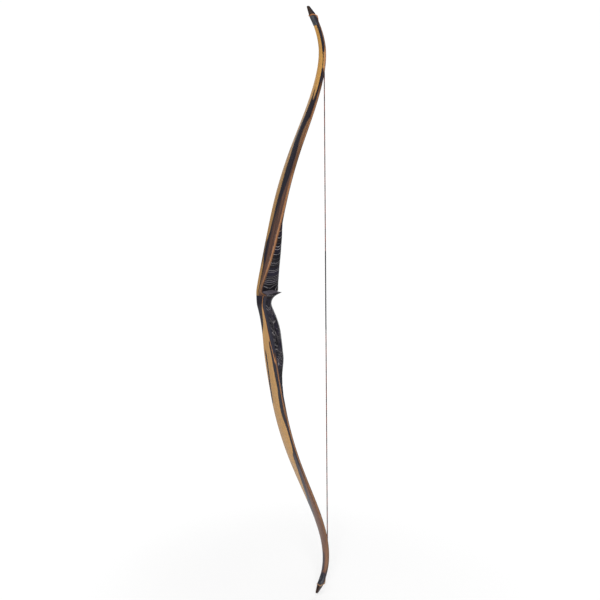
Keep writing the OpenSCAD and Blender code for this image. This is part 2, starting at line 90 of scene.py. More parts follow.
# String, splice and serving, and the run from the nock back to the fork of the loop
STRING_R, SPLICE_R, SERVING_R, FORK_RUN = 1.2, 1.6, 1.55, 26.0
NOCKING_Z, SERVING_UP, SERVING_DOWN = 40.0, 82.0, 119.0
# Run over which the splice thins and its twist opens, the height of the strands' lobes as a
# share of the radius, and the lengths in metres between rings of cord and loop
THIN_RUN, OPEN_RUN, LOBE_HEIGHT, CORD_STEP, LOOP_STEP = 90, 110, 0.1, 0.0012, 0.0008
# The string's seat: gap over the belly, slant and width of its grooves, depths on belly and back
SEAT_GAP, SLANT = 0.3, 0.55
GROOVE_R = STRING_R + 0.5
SIDE_Y = NOCK_W / 2 - 0.2
BELLY_DEEP = 2 * (GLASS_T + VENEER_T + CORE_T) - 1.4 + STRING_R + SEAT_GAP + 0.4
BACK_DEEP = -OVERLAY_T - 0.1
LIFT_ALONG = -SLANT * BELLY_DEEP - 1.6

# Lean of the back towards the string, in degrees, at stations
UPPER_BEND = [(0, 0), (10, 7), (35, 14), (60, 15.5), (130, 15.4), (210, 16.4), (260, 18.5),
              (310, 21.8), (360, 24.2), (410, 26.8), (460, 26.6), (510, 24.2), (550, 21.2),
              (580, 17.4), (610, 11.4), (640, 0.8), (670, -16), (700, -30), (730, -34), (770, -34)]
LOWER_BEND = [(0, 0), (8, 14), (25, 16), (50, 12.2), (110, 9.5), (190, 10.8), (250, 12),
              (310, 16.8), (370, 20.6), (430, 24.2), (490, 25.5), (540, 25.5), (580, 23.4),
              (610, 20.9), (640, 18.2), (670, 12.8), (700, 5.2), (730, -5), (760, -21.5),
              (790, -31), (830, -31)]


def clamp(x, lo=0.0, hi=1.0):
    return min(hi, max(lo, x))


def smoothstep(x, lo, hi):
    t = clamp((x - lo) / (hi - lo))
    return t * t * (3 - 2 * t)


def steps(*spans):
    """Stations through spans of (start, end, step), with the last end."""
    out = []
    for a, b, step in spans:
        n = max(1, math.ceil((b - a) / step))
        out += [a + (b - a) * i / n for i in range(n)]
    return out + [spans[-1][1]]


def curve(table, x):
    """A smooth curve through [place, value] rows."""
    if x <= table[0][0]:
        return table[0][1]
    if x >= table[-1][0]:
        return table[-1][1]
    i = 0
    while x >= table[i + 1][0]:
        i += 1

    def rise(k):
        a, b = table[max(0, k - 1)], table[min(len(table) - 1, k + 1)]
        return (b[1] - a[1]) / (b[0] - a[0])

    h = table[i + 1][0] - table[i][0]
    u = (x - table[i][0]) / h
    return ((1 + 2 * u) * (1 - u) ** 2 * table[i][1] + u * (1 - u) ** 2 * h * rise(i)
            + u * u * (3 - 2 * u) * table[i + 1][1] - u * u * (1 - u) * h * rise(i + 1))


def running(pieces):
    """Sums so far of a row of numbers, from 0."""
    return np.concatenate([[0], np.cumsum(pieces)])


class Limb:
    """One limb's curve, width and thickness. up is 1 for the upper limb and -1 for the lower."""

    STEP = 0.5

    def __init__(self, name, up, bend, fade, nock, power):
        self.name, self.up, self.fade, self.nock, self.power = name, up, fade, nock, power
        self.hinge = fade + HINGE_SHARE * (nock - fade)
        self.tip = nock + TIP_LEN
        self.bend = np.array(bend, float)
        self.s = np.arange(0, self.tip + CURVE_PAST, self.STEP)
        lean = self.lean(self.s[:-1] + self.STEP / 2)
        self.x = -HANDLE_DEPTH + running(self.STEP * np.sin(lean))
        self.z = BEND_Z + up * running(self.STEP * np.cos(lean))
        self.fade_z, self.nock_z = self.place(fade)[1], self.place(nock)[1]
        self.end_z = self.place(self.tip)[1] + up * END_PAST

    def lean(self, s):
        return np.radians(np.interp(s, self.bend[:, 0], self.bend[:, 1]))

    def place(self, s):
        return np.array([np.interp(s, self.s, self.x), np.interp(s, self.s, self.z)])

    def inward(self, s):
        return np.array([math.cos(self.lean(s)), -self.up * math.sin(self.lean(s))])

    def along(self, s):
        return np.array([math.sin(self.lean(s)), self.up * math.cos(self.lean(s))])

    def at(self, s, d):
        return self.place(s) + self.inward(s) * d

    def depth(self, s, face):
        """Depth of a face: 0 back, 1 veneer, 2 core, 3 second core, 4 wedge, 5 belly veneer,
        6 belly glass, 7 belly."""
        core = CORE_T - CORE_LOSS * max(0.0, s - self.fade) / 1000
        wedge = RAMP_H * ((self.fade - s) / RAMP_LEN) ** self.power if s < self.fade else 0.0
        return sum((GLASS_T, VENEER_T, core, core, wedge, VENEER_T, GLASS_T)[:face])

    def belly(self, s):
        return self.depth(s, 7)

    def half(self, z):
        """Half the width at a height beyond the wedge."""
        u = clamp((abs(z) - abs(self.fade_z)) / abs(self.nock_z - self.fade_z))
        v = clamp((abs(z) - abs(self.nock_z)) / abs(self.end_z - self.nock_z), 0.0, 0.998)
        return ((NOCK_W + (LIMB_W - NOCK_W) * (1 - u ** TAPER)) / 2
                * (1 - (1 - TIP_W / NOCK_W) * v ** 0.8) * math.sqrt(1 - v ** 4))


UPPER = Limb("upper", 1, UPPER_BEND, 232.0, 729.0, 2.4)
LOWER = Limb("lower", -1, LOWER_BEND, 242.0, 788.0, 1.6)
LIMBS = (UPPER, LOWER)
UP_Z, LOW_Z = UPPER.fade_z, LOWER.fade_z

# Over the height of the handle: half its width, the radius of its back edges, the depth to which
# its belly edges are rounded, and the share of the half width that this rounding takes
HALF_TABLE = [(LOW_Z, HALF), (-150, HALF), (-108, HALF - 0.6), (-85, GRIP_W / 2 + 4),
              (-60, GRIP_W / 2 + 1.9), (-35, GRIP_W / 2 + 0.5), (-12, GRIP_W / 2),
              (SHELF_Z - 22, GRIP_W / 2 + 1.4), (SHELF_Z - 10, HALF - 3.4), (SHELF_Z + 6, HALF - 1),
              (SHELF_Z + 60, HALF - 0.3), (UP_Z, HALF)]
BACK_ROUND = [(LOW_Z, 0.5), (-160, 1.2), (-110, 3), (-80, 4.5), (-30, 5), (0, 5), (SHELF_Z - 10, 4),
              (SHELF_Z + 8, 2.5), (SHELF_Z + 60, 1.6), (180, 0.8), (UP_Z, 0.5)]
BELLY_ROUND = [(LOW_Z, 0.5), (-200, 4), (-160, 10), (-130, 14), (-100, 16.5), (-60, 19.5), (0, 20),
               (SHELF_Z - 7, 16), (SHELF_Z + 5, 9), (SHELF_Z + 35, 7), (150, 4), (190, 1.2),
               (UP_Z, 0.5)]
BELLY_SHARE = [(LOW_Z, 0.03), (-180, 0.5), (-130, 0.85), (-80, 1), (SHELF_Z - 10, 1),
               (SHELF_Z + 8, 0.5), (SHELF_Z + 35, 0.4), (150, 0.25), (UP_Z, 0.03)]


def ramp_rows(m):
    return [tuple(m.at(s, m.belly(s))[::-1]) for s in (m.fade - off for off in RAMP_PLACES)]


# x of the handle's belly over its height: palm swell, throat, shelf beak and window
BELLY_TABLE = (ramp_rows(LOWER)
               + [(-132, PALM_OUT), (-108, PALM_OUT - 0.8), (-84, PALM_OUT - 1.9),
                  (-60, PALM_OUT - 4.7), (-36, PALM_OUT - 12.5), (-17, PALM_OUT * 0.27), (0, 0),
                  (SHELF_Z - 18, 0.8), (SHELF_Z - 12.5, 4), (SHELF_Z - 7.5, 10),
                  (SHELF_Z - 3.5, 18.5), (SHELF_Z, WINDOW_OUT - 1), (SHELF_Z + 4, WINDOW_OUT + 2.6),
                  (SHELF_Z + 15, WINDOW_OUT + 3), (SHELF_Z + 33, WINDOW_OUT + 2),
                  (SHELF_Z + 63, WINDOW_OUT - 0.6), (SHELF_Z + 98, WINDOW_OUT - 1.8)]
               + ramp_rows(UPPER)[::-1])
# How far out the sight window's wall has come, over the window's height
WINDOW_SHAPE = [(0, 0), (0.09, 0), (0.2, 0.18), (0.3, 0.37), (0.42, 0.57), (0.54, 0.71),
                (0.68, 0.82), (0.81, 0.9), (0.9, 0.97), (1, 1.04)]


def skin_share(m, s):
    """How much of the belly skins is there: they feather out on the handle's wedge."""
    return smoothstep(s, m.fade - SKIN_RUN, m.fade - SKIN_RUN + FEATHER)


def under_skin(m, s):
    return m.belly(s) - skin_share(m, s) * (GLASS_T + VENEER_T)


def under_glass(m, s):
    return m.belly(s) - skin_share(m, s) * GLASS_T


def face(k):
    return lambda m, s: m.depth(s, k)


def through_handle(depth):
    """x over z of a face, from one wedge's end through the bend to the other's."""
    return np.array(sorted(tuple(m.at(s, depth(m, s))[::-1])
                           for m, start in ((LOWER, 1), (UPPER, 0))
                           for s in steps((start, m.fade + 5, 2))))


BACK_LINE, INNER_LINE, WEDGE_LINE = map(through_handle, (face(0), face(4), under_skin))


def x_at(line, z):
    return float(np.interp(z, line[:, 0], line[:, 1]))


def half_at(z):
    if z > UP_Z:
        return UPPER.half(z)
    if z < LOW_Z:
        return LOWER.half(z)
    return curve(HALF_TABLE, z)


def window_wall(x, z):
    """y of the sight window's wall, which swells towards the belly and rounds off at its edge."""
    share = (z - SHELF_Z) / WINDOW_H
    belly = curve(BELLY_TABLE, z)
    mid = (x_at(BACK_LINE, z) + belly) / 2
    u = clamp((x - mid) / (belly - mid), -1.2, 1.2)
    q = clamp((x - belly + EDGE_RUN) / EDGE_RUN)
    fade = max(0, 1 - (share / 0.7) ** 2) if share > 0 else 1
    return (PAST_CENTRE - (PAST_CENTRE + HALF) * curve(WINDOW_SHAPE, share)
            + WINDOW_CROWN * max(0, 1 - share) * ((1 if u > 0 else 0.4) * u * u - 0.3)
            + EDGE_ROUND * fade * (1 - math.sqrt(1 - q * q)))


SHELF_MID = (x_at(BACK_LINE, SHELF_Z) + WINDOW_OUT) / 2


def shelf_height(u, out):
    """The shelf's height at its shares from the middle towards the belly and from the wall out.
    Both may be numbers or shader values."""
    return SHELF_Z + SHELF_CROWN * (1 - u * u) - SHELF_FALL * out * (0.55 - 0.45 * u)


def shelf_floor(x, y):
    return shelf_height((x - SHELF_MID) / (WINDOW_OUT - SHELF_MID),
                        max(0, PAST_CENTRE - y) / (PAST_CENTRE + HALF))


def near_edge(x, z):
    """The -Y edge of the back layers: full width, or the sight window's wall over the shelf."""
    h = half_at(z)
    if not LOW_Z < z < UP_Z:
        return -h
    wall = max(-h, window_wall(x, z))
    low, high = shelf_floor(x, -h), shelf_floor(x, wall)
    return -h + (wall + h) * clamp((z - low) / max(high - low, 0.01))


def rounded(depth, rx, ry):
    """How far an edge draws in at a depth under the face, for a quarter ellipse."""
    return ry * (1 - math.sqrt(1 - ((rx - depth) / rx) ** 2)) if depth < rx else 0.0


def edges(m, s, d):
    """(near y, far y) of the laminated stack at a station and depth."""
    x, z = m.at(s, d)
    near, far = near_edge(x, z), half_at(z)
    r_back = rx = ry = EDGE_SOFT
    if LOW_Z < z < UP_Z:
        r_back = curve(BACK_ROUND, z)
        rx = max(curve(BELLY_ROUND, z), EDGE_SOFT)
        ry = max(curve(BELLY_SHARE, z) * far, EDGE_SOFT)
    inset = rounded(max(0.0, d), r_back, r_back)
    inset += rounded(max(0.0, m.belly(s) - d), rx, min(ry, rx * 1.6))
    inset = min(inset, 0.45 * (far - near))
    return near + inset, far - inset


# Mesh tools

def add(name, data):
    obj = bpy.data.objects.new(name, data)
    bpy.context.scene.collection.objects.link(obj)
    return obj


def wire(name, points, lines=(), faces=()):
    """A mesh from points in millimetres."""
    mesh = bpy.data.meshes.new(name)
    mesh.from_pydata([tuple(float(c) * MM for c in p) for p in points], lines, faces)
    mesh.update()
    return mesh


def face_out(mesh, merge=0.0):
    """Merges points closer than merge and turns the faces outward."""
    bm = bmesh.new()
    bm.from_mesh(mesh)
    if merge:
        bmesh.ops.remove_doubles(bm, verts=bm.verts, dist=merge * MM)
    bmesh.ops.recalc_face_normals(bm, faces=bm.faces)
    bm.to_mesh(mesh)
    bm.free()


def loft(name, rings, uv=None):
    """A closed solid through rings of points, with a figure map given per point."""
    count, last = len(rings[0]), len(rings) - 1
    faces = [[i + k, i + (k + 1) % count, i + count + (k + 1) % count, i + count + k]
             for i in range(0, last * count, count) for k in range(count)]
    faces += [list(range(count - 1, -1, -1)), [last * count + k for k in range(count)]]
    mesh = wire(name, [p for ring in rings for p in ring], [], faces)
    if uv:
        figure = mesh.uv_layers.new(name="Figure").data
        for corner in mesh.loops:
            figure[corner.index].uv = uv[corner.vertex_index]
    face_out(mesh)
    return add(name, mesh)


def bake(obj):
    """Replaces the object's mesh by what its modifiers make, and removes them."""
    graph = bpy.context.evaluated_depsgraph_get()
    mesh = bpy.data.meshes.new_from_object(obj.evaluated_get(graph))
    obj.modifiers.clear()
    obj.data = mesh


def cut(obj, *cutters):
    for cutter in cutters:
        mod = obj.modifiers.new("Cut", "BOOLEAN")
        mod.operation, mod.object, mod.solver = "DIFFERENCE", cutter, "EXACT"
    bake(obj)
    if len(obj.data.polygons) < 4:
        raise RuntimeError(f"{obj.name} was cut away")


def shade_edges(obj, sharp, merge=0.0):
    """Smooth shading that keeps edges sharper than an angle in degrees."""
    mesh = obj.data
    face_out(mesh, merge)
    mesh.polygons.foreach_set("use_smooth", [True] * len(mesh.polygons))
    mesh.set_sharp_from_angle(angle=math.radians(sharp))
    mesh.update()


def discard(*objs):
    for obj in objs:
        bpy.data.objects.remove(obj)


def paint(obj, material):
    obj.data.materials.clear()
    obj.data.materials.append(material)


def space(p, y=0.0):
    return Vector((p[0] * MM, y * MM, p[1] * MM))


# Laminations

def limb_stations(m, start):
    """Stations from start to the tip, closest at the bend and past the nock."""
    spans = [(0.0, 34.0, 2.0), (34.0, m.fade, 5.0), (m.fade, m.tip - 190, 7.0),
             (m.tip - 190, m.nock - 8, 4.0), (m.nock - 8, m.tip, 1.2)]
    return steps(*[(max(a, start), b, step) for a, b, step in spans if b > start])


def slanted(m, s, d):
    """The station moved back past the nock, so that the tip ends in a slanted cut."""
    turn = m.nock + 2
    if s < turn:
        return s
    end = m.tip - TIP_SLANT * (d + OVERLAY_T) / (m.belly(m.tip) + OVERLAY_T)
    return turn + (s - turn) * (end - turn) / (m.tip - turn)


def strip(name, m, columns):
    """A solid along a limb through columns of (station, depth, near y, far y, mapped half)."""
    rings, uv = [], []
    for column in columns:
        sides = ([(s, d, near, h) for s, d, near, far, h in column]
                 + [(s, d, far, h) for s, d, near, far, h in reversed(column)])
        rings.append([(x, y, z) for (x, z), y in ((m.at(s, d), y) for s, d, y, h in sides)])
        uv += [(s * MM, (h - y) / (2 * h)) for s, d, y, h in sides]
    return loft(name, rings, uv)


def layer(name, m, low, high, start, rows):
    """One lamination: low and high give its depths at a station."""
    columns = []
    for s in limb_stations(m, start):
        a, b = low(m, s), high(m, s)
        deep = [a + (b - a) * k / rows for k in range(rows + 1)]
        spots = [(slanted(m, s, d), d) for d in deep]
        columns.append([(p, d, *edges(m, p, d), half_at(m.at(p, d)[1])) for p, d in spots])
    return strip(name, m, columns)


def groove_cutters(m):
    """The side grooves, the groove across the back and the slope on the belly side of the tip."""
    def spot(s, along, deep, y):
        x, z = m.place(s) + m.along(s) * along + m.inward(s) * deep
        return x, y, z

    def rods(name, *pairs):
        bm = bmesh.new()
        for pair in pairs:
            a, b = (Vector(spot(m.nock, *end)) * MM for end in pair)
            turn = (b - a).to_track_quat("Z", "Y").to_matrix().to_4x4()
            bmesh.ops.create_cone(bm, cap_ends=True, segments=32, radius1=GROOVE_R * MM,
                                  radius2=GROOVE_R * MM, depth=(b - a).length,
                                  matrix=Matrix.Translation((a + b) / 2) @ turn)
        mesh = bpy.data.meshes.new(name)
        bm.to_mesh(mesh)
        bm.free()
        return add(name, mesh)

    low, high, back = BELLY_DEEP + 5, BACK_DEEP - 5, -SLANT * BACK_DEEP
    sides = rods("side_cutter", *[((-SLANT * low, low - 1, y), (-SLANT * high, high - 1, y))
                                  for y in (-SIDE_Y, SIDE_Y)])
    across = rods("back_cutter", ((back, BACK_DEEP, -NOCK_W), (back, BACK_DEEP, NOCK_W)))
    belly, past, clear, wide = m.belly(m.tip), 6.0, 20.0, 12.0
    outline = [(-SLOPE_RUN, belly + 0.15),
               (past, SLOPE_LEFT - past * (belly - SLOPE_LEFT) / SLOPE_RUN),
               (past, clear), (-SLOPE_RUN, clear)]
    slope = loft("slope_cutter", [[spot(m.tip, a, d, y) for a, d in outline]
                                  for y in (-wide, wide)])
    return sides, across, slope


# name, low face, high face, whether it starts on the wedge, rows through it, slot
LAYERS = [
    ("back_glass", face(0), face(1), False, 4, "clear_glass_laminate"),
    ("back_veneer", face(1), face(2), False, 2, "back_veneer"),
    ("back_core", face(2), face(3), False, 3, "core_wood"),
    ("belly_core", face(3), face(4), False, 3, "core_wood"),
    ("belly_veneer", under_skin, under_glass, True, 2, "belly_veneer"),
    ("belly_glass", under_glass, face(7), True, 4, "clear_glass_laminate"),
]


def build_limb(m, looks):
    cutters = groove_cutters(m)
    for name, low, high, on_wedge, rows, slot in LAYERS:
        start = m.fade - SKIN_RUN + SKIN_START if on_wedge else 0.0
        obj = layer(f"{m.name}_{name}_piece", m, low, high, start, rows)
        cut(obj, *cutters)
        shade_edges(obj, LAYER_SHARP)
        paint(obj, looks[m.name, name])
        nodes = [f"{m.name}_{name}"]
        if name != "back_glass":
            nodes.append(f"{m.name}_{name}_root")
        elif m is UPPER:
            nodes.append("back_glass_centre")
        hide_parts(*nodes)
        space(m.at(m.fade - 2, 5))
        space(m.at(m.fade + 150, 5))
        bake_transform(obj)
    discard(*cutters)


def build_overlay(m, material):
    """A rounded cap that thickens up to the nock and thins again to the tip's end."""
    columns, rows = [], 7
    for s in steps((m.tip - OVERLAY_LEN, m.nock - 6, 1.5), (m.nock - 6, m.tip, 1.0)):
        rise = max(0, (s - m.tip + OVERLAY_LEN) / (OVERLAY_LEN * 0.4)) ** 1.4
        thick = OVERLAY_T * min(1, 0.12 + rise) * (1 - 0.6 * max(0, (s - m.nock) / TIP_LEN) ** 1.3)
        column = []
        for k in range(rows + 1):
            a = 0.5 * math.pi * k / rows
            d = -thick * math.sin(a) ** 0.8
            p = slanted(m, s, d)
            h = half_at(m.at(p, d)[1])
            h -= min(1.6 * (1 - math.cos(a)) * thick / OVERLAY_T, 0.6 * h)
            column.append((p, d, -h, h, h))
        columns.append(column)
    obj = strip(f"{m.name}_overlay_piece", m, columns)
    cutters = groove_cutters(m)
    cut(obj, *cutters)
    discard(*cutters)
    shade_edges(obj, OVERLAY_SHARP)
    paint(obj, material)
    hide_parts(f"{m.name}_tip_overlay")
    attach(obj, f"{m.name}_limb")


# The handle

def riser_ring(z):
    xb, xf = x_at(INNER_LINE, z), curve(BELLY_TABLE, z)
    if any(m.up * z > m.up * m.place(m.fade - RAMP_PLACES[-1])[1] for m in LIMBS):
        xf = x_at(WEDGE_LINE, z)
    h = half_at(z)
    rx = min(curve(BELLY_ROUND, z), max(xf - xb - 0.2, 0.05))
    ry = min(curve(BELLY_SHARE, z) * h, h - 0.05)
    arc = np.linspace(0, math.pi / 2, 12)
    ring = [(xb + (xf - rx - xb) * k / 3, -h) for k in (0, 1, 2)]
    ring += [(xf - rx + rx * math.sin(a), -h + ry - ry * math.cos(a)) for a in arc]
    ring += [(xf - rx + rx * math.cos(a), h - ry + ry * math.sin(a)) for a in arc]
    ring += [(xb + (xf - rx - xb) * k / 3, h) for k in (2, 1, 0)]
    return [(x, y, z) for x, y in ring]


def window_ring(x):
    """Outline of the room cut out over the shelf: floor, fillet, wall and top."""
    aside, top = -60, SHELF_Z + WINDOW_H
    wall = window_wall(x, SHELF_Z + FILLET)
    floor = shelf_floor(x, wall - FILLET)
    rows = [(y, shelf_floor(x, y)) for y in (aside, *np.linspace(-HALF - 1, wall - FILLET, 7))]
    rows += [(wall - FILLET * (1 - math.sin(a)), floor + FILLET * (1 - math.cos(a)))
             for a in np.radians([18, 36, 54, 72])]
    rows += [(window_wall(x, z), z) for z in np.linspace(floor + FILLET, top, 48)]
    return [(x, y, z) for y, z in rows + [(aside, top)]]


def build_riser(material):
    low, high = (m.place(m.fade - 2.5)[1] for m in (LOWER, UPPER))
    zs = steps((low, -26, 3.5), (-26, SHELF_Z + 10, 1.6), (SHELF_Z + 10, high, 3.5))
    xs = steps((-60, -40, 20), (-40, 14, 2.5), (14, 34, 1.0), (34, 60, 26))
    blank = loft("riser_piece", [riser_ring(z) for z in zs])
    window = loft("window_cutter", [window_ring(x) for x in xs])
    cut(blank, window)
    discard(window)
    shade_edges(blank, RISER_SHARP, merge=0.02)
    paint(blank, material)
    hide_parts("riser_block")
    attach(blank, "riser")


# The string

def belly_peak(m):
    line = [m.at(s, m.belly(s)) for s in steps((m.hinge, m.nock, 1.0))]
    return max(line, key=lambda p: p[0])


# Where the string leaves each limb, and the nocking point between them
TOUCH = {m.name: belly_peak(m) + np.array([SPLICE_R + SEAT_GAP, 0]) for m in LIMBS}
STRING_LINE = TOUCH["upper"] - TOUCH["lower"]
NOCKING = TOUCH["lower"] + STRING_LINE * (NOCKING_Z - TOUCH["lower"][1]) / STRING_LINE[1]


def gaps(points):
    return [np.linalg.norm(np.subtract(a, b)) for a, b in zip(points, points[1:])]


def polyline(name, points, radii, pitch):
    """A line of edges whose points carry a radius and the turns made so far at a pitch."""
    mesh = wire(name, points, [(i, i + 1) for i in range(len(points) - 1)])
    turns = running([gap * MM / p for gap, p in zip(gaps(points), pitch)])
    for label, values in (("radius_m", [r * MM for r in radii]), ("turns", turns)):
        mesh.attributes.new(label, "FLOAT", "POINT").data.foreach_set("value", values)
    return add(name, mesh)


def on_limb(m, along, deep, across):
    x, z = m.at(m.nock + along, deep)
    return (x, across, z)


def loop_points(m):
    """The loop from the fork up one leg, round the nock and back."""
    fork = FORK_RUN + 3
    leg = [(t * (fork + LIFT_ALONG) - fork, BELLY_DEEP, SIDE_Y * smoothstep(t, 0, 1))
           for t in np.linspace(0, 1, 12)]
    back = -SLANT * BACK_DEEP
    bight = [(-SLANT * BELLY_DEEP, BELLY_DEEP - 0.8, SIDE_Y), (-SLANT * 5, 5, SIDE_Y),
             (-SLANT * 2, 2, SIDE_Y), (SLANT, -1, SIDE_Y), (SLANT * 2.6, BACK_DEEP + 0.9, SIDE_Y),
             (back, BACK_DEEP, SIDE_Y - 0.9), (back, BACK_DEEP, SIDE_Y - 3)]
    half = leg + bight
    rows = half + [(back, BACK_DEEP, 0)] + [(a, d, -y) for a, d, y in reversed(half)]
    return smooth_line([on_limb(m, *row) for row in rows], 3)


def smooth_line(points, parts):
    """More points along a smooth line through the given ones."""
    p = [np.array(q, float) for q in points]
    out = []
    for i in range(len(p) - 1):
        a, b, c, d = p[max(0, i - 1)], p[i], p[i + 1], p[min(len(p) - 1, i + 2)]
        for t in (k / parts for k in range(parts)):
            out.append(0.5 * ((2 * b) + (c - a) * t + (2 * a - 5 * b + 4 * c - d) * t * t
                              + (3 * b - a - 3 * c + d) * t ** 3))
    return out + [p[-1]]


def cord_points(m):
    """The cord from the fork, down over the recurve's belly and straight to the nocking point."""
    touch, end = TOUCH[m.name], NOCKING + np.array([0, 0.1 * m.up])
    rows = [m.at(m.nock - FORK_RUN, BELLY_DEEP)]
    s = m.nock - FORK_RUN - 4
    p = m.at(s, m.belly(s) + SPLICE_R + SEAT_GAP)
    while m.up * p[1] >= m.up * touch[1] + 1.5:
        rows.append(p)
        s -= 3
        p = m.at(s, m.belly(s) + SPLICE_R + SEAT_GAP)
    rows += [touch + (end - touch) * k / 60 for k in range(61)]
    return [(x, 0.0, z) for x, z in rows]


def build_cord(m, material, sizes):
    points = cord_points(m)
    run = running(gaps(points))
    start = float(np.linalg.norm(TOUCH[m.name] - m.at(m.nock - FORK_RUN, BELLY_DEEP)))
    thin = [smoothstep(r, start, start + THIN_RUN) for r in run]
    loose = [smoothstep(r, start, start + OPEN_RUN) for r in run]
    opening = sizes.twist_length - sizes.splice_twist
    obj = polyline(f"{m.name}_cord_piece", points,
                   [SPLICE_R + (STRING_R - SPLICE_R) * t for t in thin],
                   [sizes.splice_twist + opening * t for t in loose])
    run_group(obj, "Twisted cord", cord_group, {
        "Step": CORD_STEP, "Strands": float(sizes.strands), "Lobe Height": LOBE_HEIGHT,
        "Material": material})
    paint(obj, material)
    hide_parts(f"{m.name}_string_splice", f"{m.name}_string")
    space(m.at(m.nock - FORK_RUN, BELLY_DEEP))
    space(TOUCH[m.name])
    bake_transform(obj)


def build_loop(m, material, sizes):
    points = loop_points(m)
    n = len(points)
    obj = polyline(f"{m.name}_loop_piece", points, [STRING_R] * n, [sizes.splice_twist] * n)
    run_group(obj, "Twisted cord", cord_group, {
        "Step": LOOP_STEP, "Strands": float(sizes.strands), "Lobe Height": LOBE_HEIGHT,
        "Material": material})
    paint(obj, material)
    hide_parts(f"{m.name}_string_loop")
    lift = m.at(m.nock + LIFT_ALONG, BELLY_DEEP)
    step = m.along(m.nock) * 2.5
    space(lift + step)
    space(lift - step)
    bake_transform(obj)


def build_serving(m, length, material, sizes):
    line = m.up * STRING_LINE / np.linalg.norm(STRING_LINE)
    thread = sizes.thread_diameter / 2
    name = f"{m.name}_serving_piece"
    obj = add(name, bpy.data.meshes.new(name))
    run_group(obj, "Wound serving", serving_group, {
        "Turns": (length - 1) / (2000 * thread), "Length": (length - 1) * MM,
        "Radius": SERVING_R * MM - thread, "Thread Radius": thread * 1.03,
        "Start": space(NOCKING + line * 0.3), "Material": material,
        "Turn": Vector((line[0], 0, line[1])).to_track_quat("Z", "Y").to_euler()})
    paint(obj, material)
    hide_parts(f"{m.name}_serving")
    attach(obj, f"{m.name}_string_half")


# Node tools

class Sock:
    """A node's output that takes part in plain arithmetic."""

    def __init__(self, graph, out):
        self.graph, self.out = graph, out

    def math(self, op, *others):
        inputs = dict(enumerate((self, *others)))
        return self.graph.sock("ShaderNodeMath", {"operation": op}, inputs)

    def flipped(self, op, other):
        return self.graph.sock("ShaderNodeMath", {"operation": op}, {0: other, 1: self})

    def __add__(self, v):
        return self.math("ADD", v)

    def __radd__(self, v):
        return self.flipped("ADD", v)

    def __sub__(self, v):
        return self.math("SUBTRACT", v)

    def __rsub__(self, v):
        return self.flipped("SUBTRACT", v)

    def __mul__(self, v):
        return self.math("MULTIPLY", v)

    def __rmul__(self, v):
        return self.flipped("MULTIPLY", v)

    def __truediv__(self, v):
        return self.math("DIVIDE", v)

    def abs(self):
        return self.math("ABSOLUTE")

    def floor(self):
        return self.math("FLOOR")

    def fract(self):
        return self.math("FRACT")

    def min(self, v):
        return self.math("MINIMUM", v)

    def max(self, v):
        return self.math("MAXIMUM", v)

    def clamp(self):
        return self.max(0.0).min(1.0)

    def step(self, lo, hi):
        """0 below lo and 1 over hi, smooth between. hi under lo turns it round."""
        return self.graph.sock("ShaderNodeMapRange", {"interpolation_type": "SMOOTHSTEP"},
                               {"Value": self, "From Min": lo, "From Max": hi})


class Graph:
    """Adds nodes to a tree by type, with settings and with values or links of their sockets."""

    def __init__(self, tree):
        self.tree = tree

    def node(self, kind, settings=None, inputs=None):
        node = self.tree.nodes.new(kind)
        for key, value in (settings or {}).items():
            setattr(node, key, value)
        for key, value in (inputs or {}).items():
            value = value.out if isinstance(value, Sock) else value
            if isinstance(value, bpy.types.NodeSocket):
                self.tree.links.new(value, node.inputs[key])
            else:
                node.inputs[key].default_value = value
        return node

    def sock(self, kind, settings=None, inputs=None, output=0):
        return Sock(self, self.node(kind, settings, inputs).outputs[output])

    def vector(self, x, y, z=0.0):
        return self.sock("ShaderNodeCombineXYZ", None, {0: x, 1: y, 2: z})


# Node groups of cord and serving

class Pattern(Graph):
    """A geometry node group with named inputs, whose mesh gets a figure map and a material."""

    def __init__(self, name, floats, vectors=()):
        super().__init__(bpy.data.node_groups.new(name, "GeometryNodeTree"))
        kinds = [("Geometry", "Geometry"), *((n, "Float") for n in floats),
                 *((n, "Vector") for n in vectors), ("Material", "Material")]
        new = self.tree.interface.new_socket
        for label, kind in kinds:
            new(label, in_out="INPUT", socket_type=f"NodeSocket{kind}")
        new("Geometry", in_out="OUTPUT", socket_type="NodeSocketGeometry")
        self.given = self.node("NodeGroupInput").outputs

    def attribute(self, name):
        return self.sock("GeometryNodeInputNamedAttribute", {"data_type": "FLOAT"}, {"Name": name},
                         "Attribute")

    def along(self, output):
        return self.sock("GeometryNodeSplineParameter", output=output)

    def kept(self, line, output):
        """A line, and its own spline parameter held for the mesh made from it."""
        node = self.node("GeometryNodeCaptureAttribute", None, {"Geometry": line})
        node.capture_items.new("FLOAT", output)
        self.tree.links.new(self.along(output).out, node.inputs[output])
        return node.outputs["Geometry"], node.outputs[output]

    def finish(self, tube, run, turn=0.0):
        figured = self.sock("GeometryNodeStoreNamedAttribute",
                            {"data_type": "FLOAT2", "domain": "CORNER"},
                            {"Geometry": tube, "Name": "Figure", "Value": self.vector(run, turn)})
        smooth = self.sock("GeometryNodeSetShadeSmooth", None, {"Geometry": figured})
        real = self.sock("GeometryNodeRealizeInstances", None, {"Geometry": smooth})
        done = self.sock("GeometryNodeSetMaterial", None,
                         {"Geometry": real, "Material": self.given["Material"]})
        self.node("NodeGroupOutput", None, {"Geometry": done})
        return self.tree


